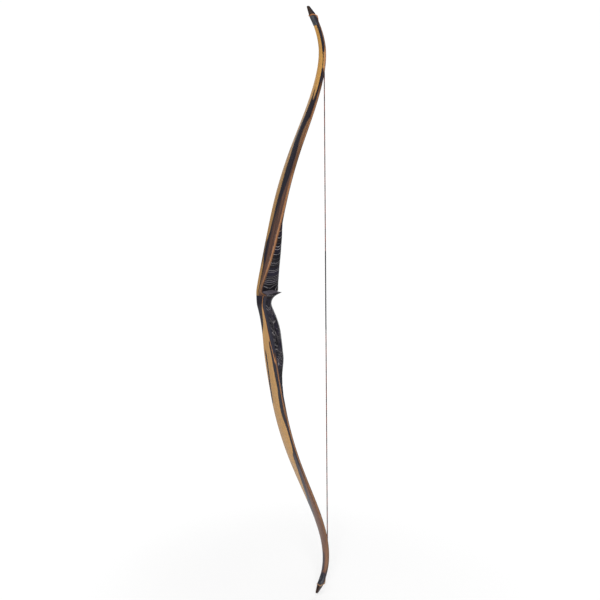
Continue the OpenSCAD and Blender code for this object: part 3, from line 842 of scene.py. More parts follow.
def cord_group(name):
    """Twists a lobed cord along a line whose points carry a radius and turns."""
    p = Pattern(name, ("Step", "Strands", "Lobe Height"))
    line = p.sock("GeometryNodeMeshToCurve", None, {"Mesh": p.given["Geometry"]})
    wide = p.sock("GeometryNodeSetCurveRadius", None,
                  {"Curve": line, "Radius": p.attribute("radius_m")})
    even = p.sock("GeometryNodeResampleCurve", {"mode": "LENGTH"},
                  {"Curve": wide, "Length": p.given["Step"]})
    even, run = p.kept(even, "Length")
    twisted = p.sock("GeometryNodeSetCurveTilt", None,
                     {"Curve": even, "Tilt": p.attribute("turns") * FULL_TURN})
    ring = p.sock("GeometryNodeCurvePrimitiveCircle", {"mode": "RADIUS"},
                  {"Resolution": 24, "Radius": 1.0})
    ring, turn = p.kept(ring, "Factor")
    lobes = (p.along("Factor") * FULL_TURN * p.given["Strands"]).math("COSINE")
    spot = p.sock("ShaderNodeVectorMath", {"operation": "SCALE"},
                  {0: p.sock("GeometryNodeInputPosition"),
                   "Scale": 1.0 - lobes * p.given["Lobe Height"]})
    profile = p.sock("GeometryNodeSetPosition", None, {"Geometry": ring, "Position": spot})
    tube = p.sock("GeometryNodeCurveToMesh", None,
                  {"Curve": twisted, "Profile Curve": profile, "Fill Caps": True,
                   "Scale": p.sock("GeometryNodeInputRadius")})
    return p.finish(tube, run, turn)


def serving_group(name):
    """Winds a thread in one coil, moved and turned onto the string by its inputs."""
    p = Pattern(name, ("Turns", "Length", "Radius", "Thread Radius"), ("Start", "Turn"))
    coil = p.sock("GeometryNodeCurveSpiral", None,
                  {"Resolution": 12, "Rotations": p.given["Turns"], "Height": p.given["Length"],
                   "Start Radius": p.given["Radius"], "End Radius": p.given["Radius"]})
    coil, run = p.kept(coil, "Length")
    ring = p.sock("GeometryNodeCurvePrimitiveCircle", {"mode": "RADIUS"},
                  {"Resolution": 6, "Radius": p.given["Thread Radius"]})
    tube = p.sock("GeometryNodeCurveToMesh", None,
                  {"Curve": coil, "Profile Curve": ring, "Fill Caps": True})
    placed = p.sock("GeometryNodeTransform", None,
                    {"Geometry": tube, "Translation": p.given["Start"],
                     "Rotation": p.given["Turn"]})
    return p.finish(placed, run)


def run_group(obj, name, build, values):
    """Runs a node group on an object and keeps the result as a plain mesh."""
    tree = bpy.data.node_groups.get(name) or build(name)
    mod = obj.modifiers.new(name, "NODES")
    mod.node_group = tree
    for item in tree.interface.items_tree:
        if item.item_type == "SOCKET" and item.in_out == "INPUT" and item.name in values:
            mod[item.identifier] = values[item.name]
    bake(obj)
    if not obj.data.polygons:
        raise RuntimeError(f"{name} made nothing for {obj.name}")
    obj.data.uv_layers["Figure"].active = True
    face_out(obj.data)


# Shader tools

def solid(colour):
    return colour if isinstance(colour, Sock) else (*colour, 1.0)


class Shader(Graph):
    """A material whose colours and masks are written as expressions."""

    # Metres before the bend at which a line starts, and its length in metres
    LEAD, SPAN = 0.03, 0.85

    def __init__(self, name):
        self.material = bpy.data.materials.new(name)
        self.material.use_nodes = True
        super().__init__(self.material.node_tree)
        self.tree.nodes.clear()

    def parts(self, vector):
        node = self.node("ShaderNodeSeparateXYZ", None, {0: vector})
        return [Sock(self, out) for out in node.outputs]

    def figure(self):
        """Metres along the limb and share across, or metres along the cord and turn round it."""
        return self.parts(self.sock("ShaderNodeUVMap", {"uv_map": "Figure"}))[:2]

    def place(self):
        return self.parts(self.sock("ShaderNodeTexCoord", output="Object"))

    def noise(self, place, detail=2.0, rough=0.5, distortion=0.0):
        return self.sock("ShaderNodeTexNoise", None, {
            "Vector": self.vector(*place), "Scale": 1.0, "Detail": detail, "Roughness": rough,
            "Distortion": distortion})

    def white(self, w):
        return self.sock("ShaderNodeTexWhiteNoise", {"noise_dimensions": "1D"}, {"W": w})

    def line(self, value, stops):
        """Straight runs over value, through stops of (place in millimetres, result)."""
        low = min(v for _, v in stops)
        span = max(max(v for _, v in stops) - low, 0.001)
        ramp = self.node("ShaderNodeValToRGB", None, {"Fac": (value + self.LEAD) / self.SPAN})
        ramp.color_ramp.interpolation = "LINEAR"
        points = ramp.color_ramp.elements
        for i, (s, v) in enumerate(stops):
            at = clamp((s * MM + self.LEAD) / self.SPAN)
            point = points[i] if i < 2 else points.new(at)
            point.position, point.color = at, ((v - low) / span,) * 3 + (1,)
        return Sock(self, ramp.outputs[0]) * span + low

    def mix(self, factor, a, b):
        """Colour a where factor is 0 and b where it is 1."""
        return self.sock("ShaderNodeMix", {"data_type": "RGBA"},
                         {0: factor, 6: solid(a), 7: solid(b)}, 2)

    def shade(self, colour, amount):
        """A colour made lighter or darker by a factor."""
        return self.sock("ShaderNodeVectorMath", {"operation": "SCALE"},
                         {0: colour, "Scale": amount})

    def glow(self, strength):
        return self.sock("ShaderNodeEmission", None, {"Color": WHITE, "Strength": strength})

    def body(self, colour, rough, coat, coat_rough, specular, **more):
        return self.sock("ShaderNodeBsdfPrincipled", None, {
            "Base Color": colour, "Roughness": rough, "Coat Weight": coat,
            "Coat Roughness": coat_rough, "Specular IOR Level": specular, **more})

    def end(self, surface):
        self.node("ShaderNodeOutputMaterial", None, {"Surface": surface})
        return self.material

    def finish(self, colour, rough, coat, coat_rough, specular, height, strength, rise):
        """Ends the material with a bump of a height pattern that rises some millimetres."""
        bump = self.sock("ShaderNodeBump", None, {
            "Height": height, "Strength": strength, "Distance": rise * MM})
        return self.end(self.body(colour, rough, coat, coat_rough, specular, Normal=bump))


# Figure of the wood

# Borders of the streaks in the back veneers: (station, share across), 0 at the far edge.
# A pair gives the two borders of a band.
UPPER_HEART = ([(0, .22), (20, .22), (47, .27), (92, .26), (116, .14), (146, .13), (172, .26),
                (204, .3), (243, .33), (283, .36), (304, .36), (330, .33), (365, .34), (389, .28),
                (410, .2), (431, .19), (454, .22), (478, .29), (500, .32), (521, .38), (543, .4),
                (556, .46)],
               [(0, .28), (20, .28), (47, .38), (100, .42), (150, .42), (165, .45), (204, .47),
                (243, .6), (262, .72), (283, .84), (304, .93), (330, .97), (365, .97), (389, .88),
                (410, .8), (431, .8), (454, .9), (475, 1.15), (500, 1.2), (520, .62), (543, .52),
                (556, .46)])
UPPER_NEAR = ([(505, 1.0), (510, .66), (516, .7), (530, .78), (545, .82), (600, .83), (620, .84),
               (632, .8), (645, .7), (670, .66), (690, .68), (707, .68), (729, .6)],
              [(505, 1.4), (588, 1.4), (600, .97), (640, .98), (650, 1.4)])
UPPER_FAR = [(62, -.08), (84, .08), (107, .12), (146, .1), (172, -.08), (342, -.08), (356, .05),
             (384, .07), (398, -.08)]
LOWER_HEART = ([(80, 1.1), (92, .72), (104, .68), (129, .73), (180, .76), (206, .81), (232, .75),
                (256, .72), (282, .76), (308, .92), (336, .96), (365, .94), (380, .86), (393, .7),
                (427, .66), (460, .55), (489, .43), (523, .27), (545, .08), (565, -.2)],
               [(80, 1.2), (365, 1.2), (390, 1.05), (420, 1.02), (450, .96), (474, .88),
                (498, .78), (522, .64), (546, .5), (570, .36), (594, .15), (615, -.1)])
LOWER_FAR = [(-20, .84), (0, .84), (8, .79), (20, .67), (35, .55), (52, .4), (62, .28), (75, .1),
             (88, -.2)]
LOWER_DASH = [(110, .22), (132, .22), (155, .2), (176, .17), (196, .13), (227, .08), (250, .04),
              (262, -.2)]
LOWER_LINE = [(0, .85), (20, .86), (45, .85), (70, .84), (89, .85), (104, .885), (129, .95),
              (150, 1.02)]
LOWER_THREAD = [(0, .036), (60, .026), (150, .022)]
LOWER_PATCH = [(700, -.2), (708, .4), (740, .5), (752, .45), (760, -.2)]
# How much brown wood stands in the gold beside the upper heartwood
UPPER_BROWN = [(0, .95), (330, .95), (365, .82), (470, .75), (520, .15), (560, 0)]
# Lightness of each limb's cores
CORE_LIGHT = {
    ("upper", "back"): [(0, .06), (16, .06), (22, .5), (60, .8), (110, 1.2), (205, 1.2), (240, .7),
                        (310, .6), (330, .4), (400, .5), (480, .55), (540, .5), (570, .15),
                        (592, .15), (605, 1.3), (640, 1.4), (652, .15), (700, .1), (735, .1)],
    ("upper", "belly"): [(0, .15), (45, .2), (100, .6), (205, .65), (240, 1.1), (310, 1.0),
                         (330, .5), (390, .55), (410, 1.1), (500, 1.1), (540, .6), (570, .15),
                         (592, .2), (605, 1.4), (645, 1.4), (660, .8), (700, .6), (712, .15),
                         (735, .12)],
    ("lower", "back"): [(-20, .06), (115, .08), (140, .7), (255, .85), (290, .2), (455, .2),
                        (490, .6), (735, .6), (752, .15), (812, .12)],
    ("lower", "belly"): [(-20, .1), (235, .1), (260, .4), (300, .95), (400, .95), (500, .8),
                         (735, .7), (755, .2), (812, .15)],
}


class Figure(Shader):
    """Golden and dark wood under clear gloss, laid out along one limb's back.

    s is metres along the limb, flat the share across, and t that share with wavy borders."""

    def __init__(self, name, colours):
        super().__init__(name)
        self.s, self.flat = s, flat = self.figure()
        wander = self.noise((s * 14, flat * 1.2), 3.0, 0.6) - 0.5
        self.fine = self.noise((s * 60, flat * 14), 4.0, 0.65) - 0.5
        self.t = flat + wander * 0.07 + self.fine * 0.05
        self.hair = self.noise((s * 9, flat * 90), 5.0, 0.6, 0.2)
        self.streak = self.noise((s * 3.2, flat * 16), 4.0, 0.55, 0.3)
        self.gold = self.mix(self.streak.step(0.3, 0.75), colours.gold, colours.gold_deep)
        self.dark = self.mix(self.streak.step(0.35, 0.7), colours.heart, colours.heart_blue)
        brown = self.mix(self.hair.step(0.35, 0.7), colours.brown, colours.brown_light)
        self.brown = self.shade(brown, 0.7 + self.streak * 0.6)

    def under(self, border, soft=0.04):
        """1 on the far side of a border."""
        return (self.line(self.s, border) - self.t).step(-soft, soft)

    def band(self, borders, soft=0.035, blur=0.035):
        """1 between two borders that are soft and blur wide."""
        low, high = (self.line(self.s, border) for border in borders)
        return (self.t - low).step(-soft, soft) * (high - self.t).step(-blur, blur)

    def stripe(self, middle, half, across):
        return (half - (across - middle).abs()).step(-0.01, 0.012)

    def gloss(self, base):
        base = self.shade(base, 0.82 + self.hair * 0.36)
        return self.finish(base, 0.25, 0.25, 0.04, 0.15, self.hair, 0.05, 0.2)


def upper_figure(colours):
    f = Figure("upper_back_figure", colours)
    s, t = f.s, f.t
    gold = f.shade(f.gold, s.step(0.42, 0.58) * 0.2 + 0.78)
    gold = f.mix(s.step(0.5, 0.6) * 0.6, gold, colours.amber)
    beside = (t - f.line(s, UPPER_HEART[0])).step(0.05, 0.2)
    brownness = f.line(s, UPPER_BROWN) * beside
    base = f.mix((brownness * (0.8 + 0.5 * f.streak)).clamp(), gold, f.shade(f.brown, 0.74))
    vein = f.noise((s * 5, f.flat * 12, 5.0)).step(0.45, 0.58)
    dim = (f.hair.step(0.4, 0.62) * 0.3 + vein * 0.6) * s.step(0.34, 0.26) * brownness
    base = f.mix(dim.clamp(), base, f.dark)
    heart = f.band(UPPER_HEART, blur=0.09) * s.step(0.57, 0.545)
    near = f.band(UPPER_NEAR) * s.step(0.49, 0.5)
    far = f.under(UPPER_FAR) * (t - 0.02).step(-0.02, 0.01)
    base = f.mix(heart.max(near).max(far * 0.85), base, f.dark)
    # The dark joint at the bend, with the orange line of the lower limb running on through it
    line = (0.022 - (f.flat - 0.862).abs()).step(-0.012, 0.012)
    return f.gloss(f.mix(s.step(0.0186, 0.0182), base, f.mix(line, f.dark, colours.line)))


def lower_figure(colours):
    f = Figure("lower_back_figure", colours)
    s, t = f.s, f.t
    beyond = (t - f.line(s, LOWER_HEART[0])).step(-0.03, 0.03) * s.step(0.38, 0.4)
    base = f.mix(s.step(0.53, 0.58).max(beyond), f.gold, f.brown)
    orange = (t - 0.6).step(-0.12, 0.12) * s.step(0.66, 0.71) * s.step(0.77, 0.73) * 0.3
    base = f.mix(orange, base, colours.core)
    slate = f.mix(f.streak.step(0.3, 0.7), colours.slate, f.dark)
    dark = f.mix(s.step(0.37, 0.4), f.dark, slate)
    heart = f.band(LOWER_HEART) * s.step(0.083, 0.095)
    border, handle = f.line(s, LOWER_LINE), s.step(0.15, 0.14)
    near = (f.flat - border).step(-0.01, 0.02) * handle
    dash = f.stripe(f.line(s, LOWER_DASH), 0.06, t) * s.step(0.11, 0.125) * s.step(0.262, 0.25)
    dash = dash * f.fine.step(-0.35, -0.15)
    patch = f.under(LOWER_PATCH, 0.1) * s.step(0.69, 0.71)
    stain = heart.max(f.under(LOWER_FAR)).max(near).max(dash).max(patch * 0.85)
    base = f.mix(stain.max(s.step(0.753, 0.760)), base, dark)
    thread = f.stripe(border, f.line(s, LOWER_THREAD), f.flat) * handle
    return f.gloss(f.mix(thread, base, colours.line))


def core_wood(name, colours, light):
    """Brown limb core seen on edge: straight fibres, lighter or darker along the limb."""
    sh = Shader(name)
    s, t = sh.figure()
    x, y = sh.place()[:2]
    fibre = sh.noise((s * 30, x * 900, y * 700), 4.0, 0.6)
    slow = sh.noise((s * 6, t * 3, 2.0))
    bright = sh.line(s, light)
    base = sh.mix(fibre.step(0.3, 0.72), colours.core, colours.core_dark)
    base = sh.shade(base, bright * (0.75 + slow * 0.5))
    base = sh.mix(bright.step(0.3, 0.1), base, colours.heart_blue)
    return sh.finish(base, 0.35, 0.18, 0.15, 0.15, fibre, 0.06, 0.2)


def belly_wood(name, colours):
    """Dark veneer with brown streaks under gloss."""
    sh = Shader(name)
    s, t = sh.figure()
    streak = sh.noise((s * 4.5, t * 14), 4.0, 0.6, 0.4)
    hair = sh.noise((s * 12, t * 90), 5.0, 0.6)
    base = sh.mix(streak.step(0.42, 0.66), colours.heart, colours.brown)
    base = sh.mix(streak.step(0.66, 0.78) * 0.7, base, colours.gold_deep)
    base = sh.shade(base, 0.8 + hair * 0.4)
    return sh.finish(base, 0.25, 0.25, 0.06, 0.15, hair, 0.05, 0.2)


def limb_looks(colours):
    looks = {}
    for m, figured in ((UPPER, upper_figure(colours)), (LOWER, lower_figure(colours))):
        looks[m.name, "back_glass"] = looks[m.name, "back_veneer"] = figured
        dark = belly_wood(f"{m.name}_belly_figure", colours)
        looks[m.name, "belly_veneer"] = looks[m.name, "belly_glass"] = dark
        for side in ("back", "belly"):
            looks[m.name, f"{side}_core"] = core_wood(f"{m.name}_{side}_core_wood", colours,
                                                      CORE_LIGHT[m.name, side])
    return looks


def riser_wood(colours, sizes):
    """Dyed hardwood plies stacked across the bow: carved faces cut them into contour lines."""
    sh = Shader("riser_laminate")
    x, y, z = sh.place()
    warp = sh.noise((x * 24, y * 20, z * 17)) - 0.5
    ripple = sh.noise((x * 150, y * 80, z * 60), 3.0, 0.65) - 0.5
    swirl = (sh.noise((x * 46, y * 15, z * 27 + 7.0), 1.0) - 0.5) * z.step(0.03, 0.008)
    wander = warp * sizes.ply_warp + ripple * 0.0006 + swirl * sizes.grip_swirl
    ply = (y - z * sizes.ply_tilt + wander) / sizes.ply_thickness + 200.0
    index = ply.floor()
    vessel = sh.noise((x * 420, y * 900, z * 26), 3.0, 0.7)
    grain = sh.noise((x * 160, y * 300, z * 10), 4.0, 0.6)
    base = sh.mix(sh.white(index).step(0.45, 0.8), colours.riser_black, colours.riser_navy)
    base = sh.mix(grain.step(0.5, 0.8) * 0.3, base, colours.riser_grey)
    # Light lines between plies, finer rings on the grip and a calm heel
    grip, heel = z.step(0.012, -0.012), z.step(-0.13, -0.17)
    broken = sh.noise((x * 55, y * 20, z * 40), 3.0, 0.6).step(0.33, 0.56)
    glue = (ply.fract() - 0.5).abs().step(0.115, 0.035)
    line = glue * (0.08 + 0.92 * sh.white(index + 7.3).step(0.25, 0.95))
    rings = ((ply * 3.0).fract() - 0.5).abs().step(0.14, 0.03) * grip * 0.34
    line = (line * (0.3 + 0.7 * broken) * (1.0 - 0.3 * grip)).max(rings * broken)
    line = line * (1.0 - 0.75 * heel)
    bright = sh.mix(sh.white(index + 3.1).step(0.8, 0.9), colours.riser_line, colours.riser_cream)
    base = sh.mix(line, base, bright)
    base = sh.mix(vessel.step(0.68, 0.8) * 0.35, base, colours.riser_black)
    # Painted sheen: the arrow shelf's top is lightened in a grey band, broken by the grain
    floor = shelf_height((x / MM - SHELF_MID) / (WINDOW_OUT - SHELF_MID),
                         (PAST_CENTRE - y / MM).max(0.0) / (PAST_CENTRE + HALF))
    shelf = (z / MM - floor).abs().step(1.0, 0.4)
    base = sh.mix(shelf * (0.45 + 0.5 * grain), base, sh.shade(colours.riser_grey, 3.0))
    relief = vessel * 0.6 + line * 0.4
    return sh.finish(base, 0.3 + grain * 0.08, 0.12, 0.12, 0.08, relief, 0.08, 0.2)


def overlay_look(m, colours):
    """Black horn under the string groove and dark brown wood beyond it."""
    sh = Shader(f"{m.name}_tip_overlay_gloss")
    s, t = sh.figure()
    x, y, z = sh.place()
    cloud = sh.noise((x * 120, y * 200, z * 60), 3.0, 0.6)
    base = sh.mix(cloud.step(0.4, 0.75), colours.overlay, colours.overlay_sheen)
    wood = sh.shade(colours.overlay_brown, 0.6 + sh.noise((s * 60, t * 22), 4.0, 0.6))
    base = sh.mix(s.step((m.nock + 1) * MM, (m.nock + 4) * MM), base, wood)
    return sh.finish(base, 0.18 + cloud * 0.08, 0.5, 0.04, 0.2, cloud, 0.04, 0.3)


def string_look(name, sizes, colours, glint=None, splice=None):
    """Dark and red-brown waxed strands. The loops' lighter colour is a painted highlight mixed into
    their strands round the tip; splice is a lighter colour for those near the cord's upper end."""
    sh = Shader(name)
    run, turn = sh.figure()
    fluff = sh.noise((run * 900, turn * 40), 3.0, 0.7)
    stray = sh.white((turn * float(sizes.strands)).floor() + 4.6).step(0.7, 0.8) * 0.5
    light = colours.string_tan
    if splice:
        light = sh.mix(run.step(0.13, 0.08), light, splice)
    base = sh.mix((turn.step(0.40, 0.46) * 0.9 + stray * 0.25).clamp(), colours.string_dark, light)
    base = sh.shade(base, 0.7 + fluff * 0.6)
    # The lighter colour mixed into the loop's strands here is a painted highlight
    if glint:
        off = sh.place()[1].abs()
        share = off.step(0.0095, 0.0078) * (0.35 + 0.35 * fluff + 0.3 * off.step(0.0015, 0.0045))
        base = sh.mix(share, base, glint)
    fibres = sh.noise((run * 60, turn * 160), 2.0, 0.6)
    return sh.finish(base, 0.6 + fluff * 0.15, 0.0, 0.3, 0.05, fibres, 0.3, 0.2)


def serving_look(colours):
    sh = Shader("serving_wound")
    fluff = sh.noise((sh.figure()[0] * 400, 0.0), 3.0, 0.7)
    base = sh.mix(fluff.step(0.3, 0.8), colours.serving, colours.serving_light)
    base = sh.shade(base, 0.8 + fluff * 0.4)
    return sh.finish(base, 0.5 + fluff * 0.15, 0.0, 0.3, 0.05, fluff, 0.2, 0.1)


# Stage and camera

WHITE = (1, 1, 1, 1)
# The camera fitted to the photograph: right, up and back, its place in metres, roll and lens
CAMERA_AXES = ((0.74314, -0.66913, 0), (0.05832, 0.06477, 0.99618), (-0.66658, -0.74031, 0.08716))
CAMERA_PLACE, CAMERA_ROLL, CAMERA_LENS = (-0.93219, -1.13833, 0.13708), -0.642, 37.66
# Metres: the lower tip's end, the floor's half width, and the backdrop's direction and reach
LOWER_END, FLOOR_REACH = -0.7705, 14.0
BACKDROP_WAY, BACKDROP_FAR, BACKDROP_HALF, BACKDROP_TOP = (0.67, 0.742, 0.0), 3.0, 3.2, 3.4
# name, place, aim, width and height in metres, share of the key light's power
LIGHTS = [
    ("key_light", (-1.7, -2.0, 0.9), (0, 0, -0.05), (1.3, 1.7), 1.0),
    ("fill_light", (2.0, 0.6, 0.5), (0, 0, 0), (1.2, 2.0), 0.25),
    ("top_light", (-0.2, -0.5, 2.6), (0, 0, -0.3), (1.8, 1.8), 0.35),
]


def build_camera():
    """The photograph's camera: behind the bow's back, to the archer's left and a little above."""
    data = bpy.data.cameras.new("photo_camera")
    data.sensor_width, data.lens = 36.0, CAMERA_LENS
    data.clip_start, data.clip_end = 0.05, 50
    camera = add("photo_camera", data)
    roll = Matrix.Rotation(math.radians(CAMERA_ROLL), 3, "Z")
    turn = Matrix(CAMERA_AXES).transposed() @ roll
    camera.matrix_world = Matrix.Translation(CAMERA_PLACE) @ turn.to_4x4()
    bpy.context.scene.camera = camera
    bpy.context.scene.view_settings.view_transform = "Standard"


def area_light(name, place, target, size, power):
    data = bpy.data.lights.new(name, "AREA")
    data.shape, data.size, data.size_y, data.energy = "RECTANGLE", size[0], size[1], power
    lamp = add(name, data)
    lamp.location = place
    lamp.rotation_euler = (Vector(target) - Vector(place)).to_track_quat("-Z", "Y").to_euler()
    return lamp


def sheet(name, corners, material):
    mesh = bpy.data.meshes.new(name)
    mesh.from_pydata(corners, [], [(0, 1, 2, 3)])
    mesh.materials.append(material)
    return add(name, mesh)


def floor_paint(colours):
    """Pale paint that takes the object's shadow and brightens to white away from it."""
    sh = Shader("studio_floor_paint")
    x, y = sh.place()[:2]
    mottle = 0.99 + sh.noise((x * 3.0, y * 3.0)) * 0.02
    lit = sh.body(sh.shade(colours.floor, mottle), 0.8, 0.0, 0.3, 0.1)
    away = sh.sock("ShaderNodeVectorMath", {"operation": "LENGTH"},
                   {0: sh.vector(x - 0.16, y)}, "Value")
    seen = sh.sock("ShaderNodeLightPath", output="Is Camera Ray")
    share = (away.step(0.25, 0.9) * 0.5 + 0.5) * seen
    return sh.end(sh.sock("ShaderNodeMixShader", None, {0: share, 1: lit, 2: sh.glow(1.04)}))


def build_world():
    """Dim light from all round that the camera sees as white."""
    world = bpy.data.worlds.new("studio_white")
    world.use_nodes = True
    world.node_tree.nodes.clear()
    g = Graph(world.node_tree)
    strength = g.sock("ShaderNodeMix", {"data_type": "FLOAT"},
                      {0: g.sock("ShaderNodeLightPath", output="Is Camera Ray"), 2: 0.2, 3: 1.02})
    light = g.sock("ShaderNodeBackground", None, {"Color": WHITE, "Strength": strength})
    g.node("ShaderNodeOutputWorld", None, {"Surface": light})
    bpy.context.scene.world = world


def build_stage(sizes, colours):
    """A pale floor under the lower tip, a white surround and three soft lights."""
    z, r = LOWER_END - sizes.floor_gap, FLOOR_REACH
    floor = sheet("studio_floor", [(-r, -r, z), (r, -r, z), (r, r, z), (-r, r, z)],
                  floor_paint(colours))
    build_world()
    away = Vector(BACKDROP_WAY)
    side = away.cross(Vector((0, 0, 1))) * BACKDROP_HALF
    corners = [away * BACKDROP_FAR + side * a + Vector((0, 0, height))
               for a, height in ((-1, z), (1, z), (1, BACKDROP_TOP), (-1, BACKDROP_TOP))]
    bright = Shader("studio_backdrop_light")
    backdrop = sheet("studio_backdrop", corners, bright.end(bright.glow(1.02)))
    lamps = [area_light(name, place, aim, size, sizes.key_power * share)
             for name, place, aim, size, share in LIGHTS]


# Add-on: settings and buttons

def length_prop(label, text, value, least=0.0):
    return bpy.props.FloatProperty(name=label, description=text, default=value, min=least,
                                   unit="LENGTH")


def colour_prop(label, text, value):
    return bpy.props.FloatVectorProperty(name=label, description=text, default=value,
                                         subtype="COLOR", size=3, min=0, max=1)


class BowSizes(bpy.types.PropertyGroup):
    ply_thickness: length_prop("Ply thickness", "Thickness of one dyed ply of the handle",
                               0.00125, 0.0003)
    ply_tilt: bpy.props.FloatProperty(
        name="Ply tilt", description="Sideways run of the plies over their height",
        default=0.1, min=-0.3, max=0.3)
    ply_warp: length_prop("Ply waviness", "How far the plies wander from flat", 0.0024)
    grip_swirl: length_prop("Grip swirl", "Extra wander of the plies under the grip", 0.011)
    strands: bpy.props.IntProperty(
        name="Strand bundles", description="Bundles that show round the string",
        default=6, min=2, max=16)
    twist_length: length_prop("Twist length", "Length of one full turn of the string", 0.036, 0.004)
    splice_twist: length_prop("Splice twist", "Length of one turn at loops and splices",
                              0.009, 0.004)
    thread_diameter: length_prop("Serving thread", "Diameter of the serving thread",
                                 0.00062, 0.0003)
    floor_gap: length_prop("Floor gap", "Gap between the lower tip and the floor", 0.004)
    key_power: bpy.props.FloatProperty(
        name="Key light", description="Power of the main soft light",
        default=70.0, min=0.0, unit="POWER")


class BowColours(bpy.types.PropertyGroup):
    gold: colour_prop("Gold", "Light sapwood of the back veneer", (0.52, 0.29, 0.105))
    gold_deep: colour_prop("Deep gold", "Darker sapwood of the back veneer", (0.42, 0.24, 0.092))
    amber: colour_prop("Amber", "Warmer sapwood towards the upper tip", (0.56, 0.29, 0.06))
    heart: colour_prop("Heartwood", "Dark heartwood of the veneers", (0.014, 0.011, 0.016))
    heart_blue: colour_prop("Heartwood, cool", "Cooler dark heartwood", (0.026, 0.025, 0.036))
    slate: colour_prop("Slate", "Blue-grey wood towards the lower tip", (0.074, 0.067, 0.084))
    brown: colour_prop("Brown", "Brown wood between sap and heartwood", (0.1, 0.05, 0.036))
    brown_light: colour_prop("Light brown", "Lighter brown wood", (0.235, 0.118, 0.076))
    core: colour_prop("Core", "Limb core on edge", (0.40, 0.19, 0.085))
    line: colour_prop("Core line", "Orange edge beside the handle", (0.46, 0.20, 0.07))
    core_dark: colour_prop("Dark core", "Darker fibres of the core", (0.24, 0.11, 0.055))
    riser_black: colour_prop("Handle, black ply", "Darkest plies", (0.0075, 0.0065, 0.0095))
    riser_navy: colour_prop("Handle, navy ply", "Blue-black plies", (0.0135, 0.0115, 0.022))
    # Tripled, this grey is also the painted sheen on the arrow shelf's top
    riser_grey: colour_prop("Handle, grey fibres", "Grey fibres and shelf", (0.036, 0.032, 0.040))
    riser_line: colour_prop("Handle, light line", "Lines between plies", (0.38, 0.355, 0.365))
    riser_cream: colour_prop("Handle, warm line", "The few warmer lines", (0.55, 0.40, 0.26))
    overlay: colour_prop("Tip overlay", "Black tip overlay", (0.028, 0.03, 0.038))
    overlay_sheen: colour_prop("Tip overlay, cloud", "Lighter clouds in it", (0.09, 0.095, 0.11))
    overlay_brown: colour_prop("Tip overlay, end", "Wood past the groove", (0.03, 0.016, 0.011))
    string_dark: colour_prop("String, dark", "Dark strands", (0.016, 0.013, 0.012))
    string_tan: colour_prop("String, red-brown", "Red-brown strands", (0.22, 0.055, 0.032))
    # The two loop colours are painted highlight on the loops' strands; the orange also lightens the
    # upper cord's spliced end
    string_orange: colour_prop("Upper loop, worn", "Worn upper strands", (0.50, 0.21, 0.08))
    string_cream: colour_prop("Lower loop, worn", "Worn lower strands", (0.42, 0.27, 0.16))
    serving: colour_prop("Serving", "Serving thread", (0.012, 0.012, 0.014))
    serving_light: colour_prop("Serving, light", "Worn serving thread", (0.022, 0.022, 0.024))
    floor: colour_prop("Floor", "Pale studio floor", (0.93, 0.93, 0.93))


def settings():
    scene = bpy.context.scene
    return scene.bow_sizes, scene.bow_colours


class BOW_OT_camera(bpy.types.Operator):
    """Place the photograph's camera"""
    bl_idname = "bow.camera"
    bl_label = "Camera"

    def execute(self, context):
        build_camera()
        return {"FINISHED"}


class BOW_OT_stage(bpy.types.Operator):
    """Build the floor, the white surround and the soft lights"""
    bl_idname = "bow.stage"
    bl_label = "Stage"

    def execute(self, context):
        build_stage(*settings())
        return {"FINISHED"}


class BOW_OT_riser(bpy.types.Operator):
    """Build the sculpted handle with its window and shelf"""
    bl_idname = "bow.riser"
    bl_label = "Handle"

    def execute(self, context):
        sizes, colours = settings()
        build_riser(riser_wood(colours, sizes))
        return {"FINISHED"}


class BOW_OT_limbs(bpy.types.Operator):
    """Build both limbs' laminations from the bend to the tips"""
    bl_idname = "bow.limbs"
    bl_label = "Limbs"

    def execute(self, context):
        looks = limb_looks(settings()[1])
        for m in LIMBS:
            build_limb(m, looks)
        return {"FINISHED"}


class BOW_OT_overlays(bpy.types.Operator):
    """Build the tip overlays with their string grooves"""
    bl_idname = "bow.overlays"
    bl_label = "Tip overlays"

    def execute(self, context):
        for m in LIMBS:
            build_overlay(m, overlay_look(m, settings()[1]))
        return {"FINISHED"}


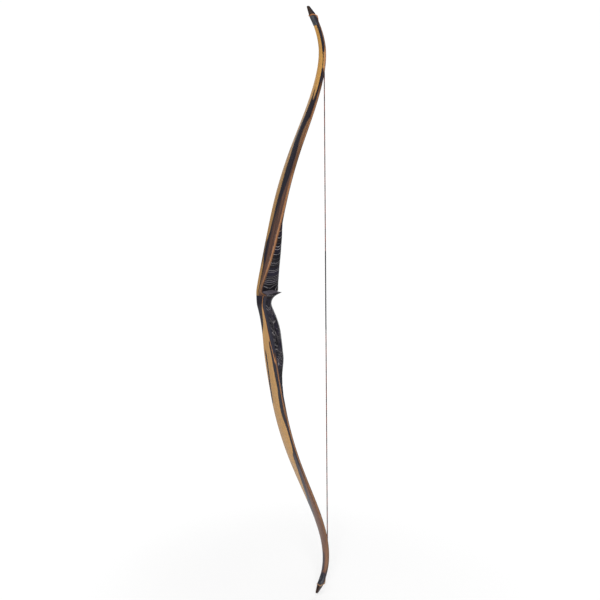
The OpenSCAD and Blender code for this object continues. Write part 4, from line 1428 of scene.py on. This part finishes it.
class BOW_OT_string(bpy.types.Operator):
    """Twist the string, its spliced ends and its loops"""
    bl_idname = "bow.string"
    bl_label = "String"

    def execute(self, context):
        sizes, colours = settings()
        # Each loop gets a lighter strand colour as a painted highlight
        for m, glint, splice in ((UPPER, colours.string_orange, colours.string_orange),
                                (LOWER, colours.string_cream, None)):
            build_cord(m, string_look(f"{m.name}_strands", sizes, colours, None, splice), sizes)
            build_loop(m, string_look(f"{m.name}_loop_strands", sizes, colours, glint), sizes)
        return {"FINISHED"}


class BOW_OT_serving(bpy.types.Operator):
    """Wind the centre serving over the string"""
    bl_idname = "bow.serving"
    bl_label = "Centre serving"

    def execute(self, context):
        sizes, colours = settings()
        material = serving_look(colours)
        for m, length in ((UPPER, SERVING_UP), (LOWER, SERVING_DOWN)):
            build_serving(m, length, material, sizes)
        return {"FINISHED"}


class BOW_PT_panel(bpy.types.Panel):
    """Sizes, colours and one button for each piece"""
    bl_idname = "BOW_PT_panel"
    bl_label = "Recurve bow"
    bl_space_type = "VIEW_3D"
    bl_region_type = "UI"
    bl_category = "Bow"

    def draw(self, context):
        for group in settings():
            box = self.layout.box()
            for name in group.bl_rna.properties.keys():
                if name not in ("rna_type", "name"):
                    box.prop(group, name)
        for op in OPERATORS:
            self.layout.operator(op.bl_idname)


OPERATORS = (BOW_OT_camera, BOW_OT_stage, BOW_OT_riser, BOW_OT_limbs, BOW_OT_overlays,
             BOW_OT_string, BOW_OT_serving)
CLASSES = (BowSizes, BowColours) + OPERATORS + (BOW_PT_panel,)


def register():
    for cls in CLASSES:
        bpy.utils.register_class(cls)
    bpy.types.Scene.bow_sizes = bpy.props.PointerProperty(type=BowSizes)
    bpy.types.Scene.bow_colours = bpy.props.PointerProperty(type=BowColours)


def unregister():
    del bpy.types.Scene.bow_colours
    del bpy.types.Scene.bow_sizes
    for cls in reversed(CLASSES):
        bpy.utils.unregister_class(cls)


def main():
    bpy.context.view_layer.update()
    register()
    for op in OPERATORS:
        group, name = op.bl_idname.split(".")
        if getattr(getattr(bpy.ops, group), name)() != {"FINISHED"}:
            raise RuntimeError(f"{op.bl_label} did not finish")


if __name__ == "__main__":
    main()
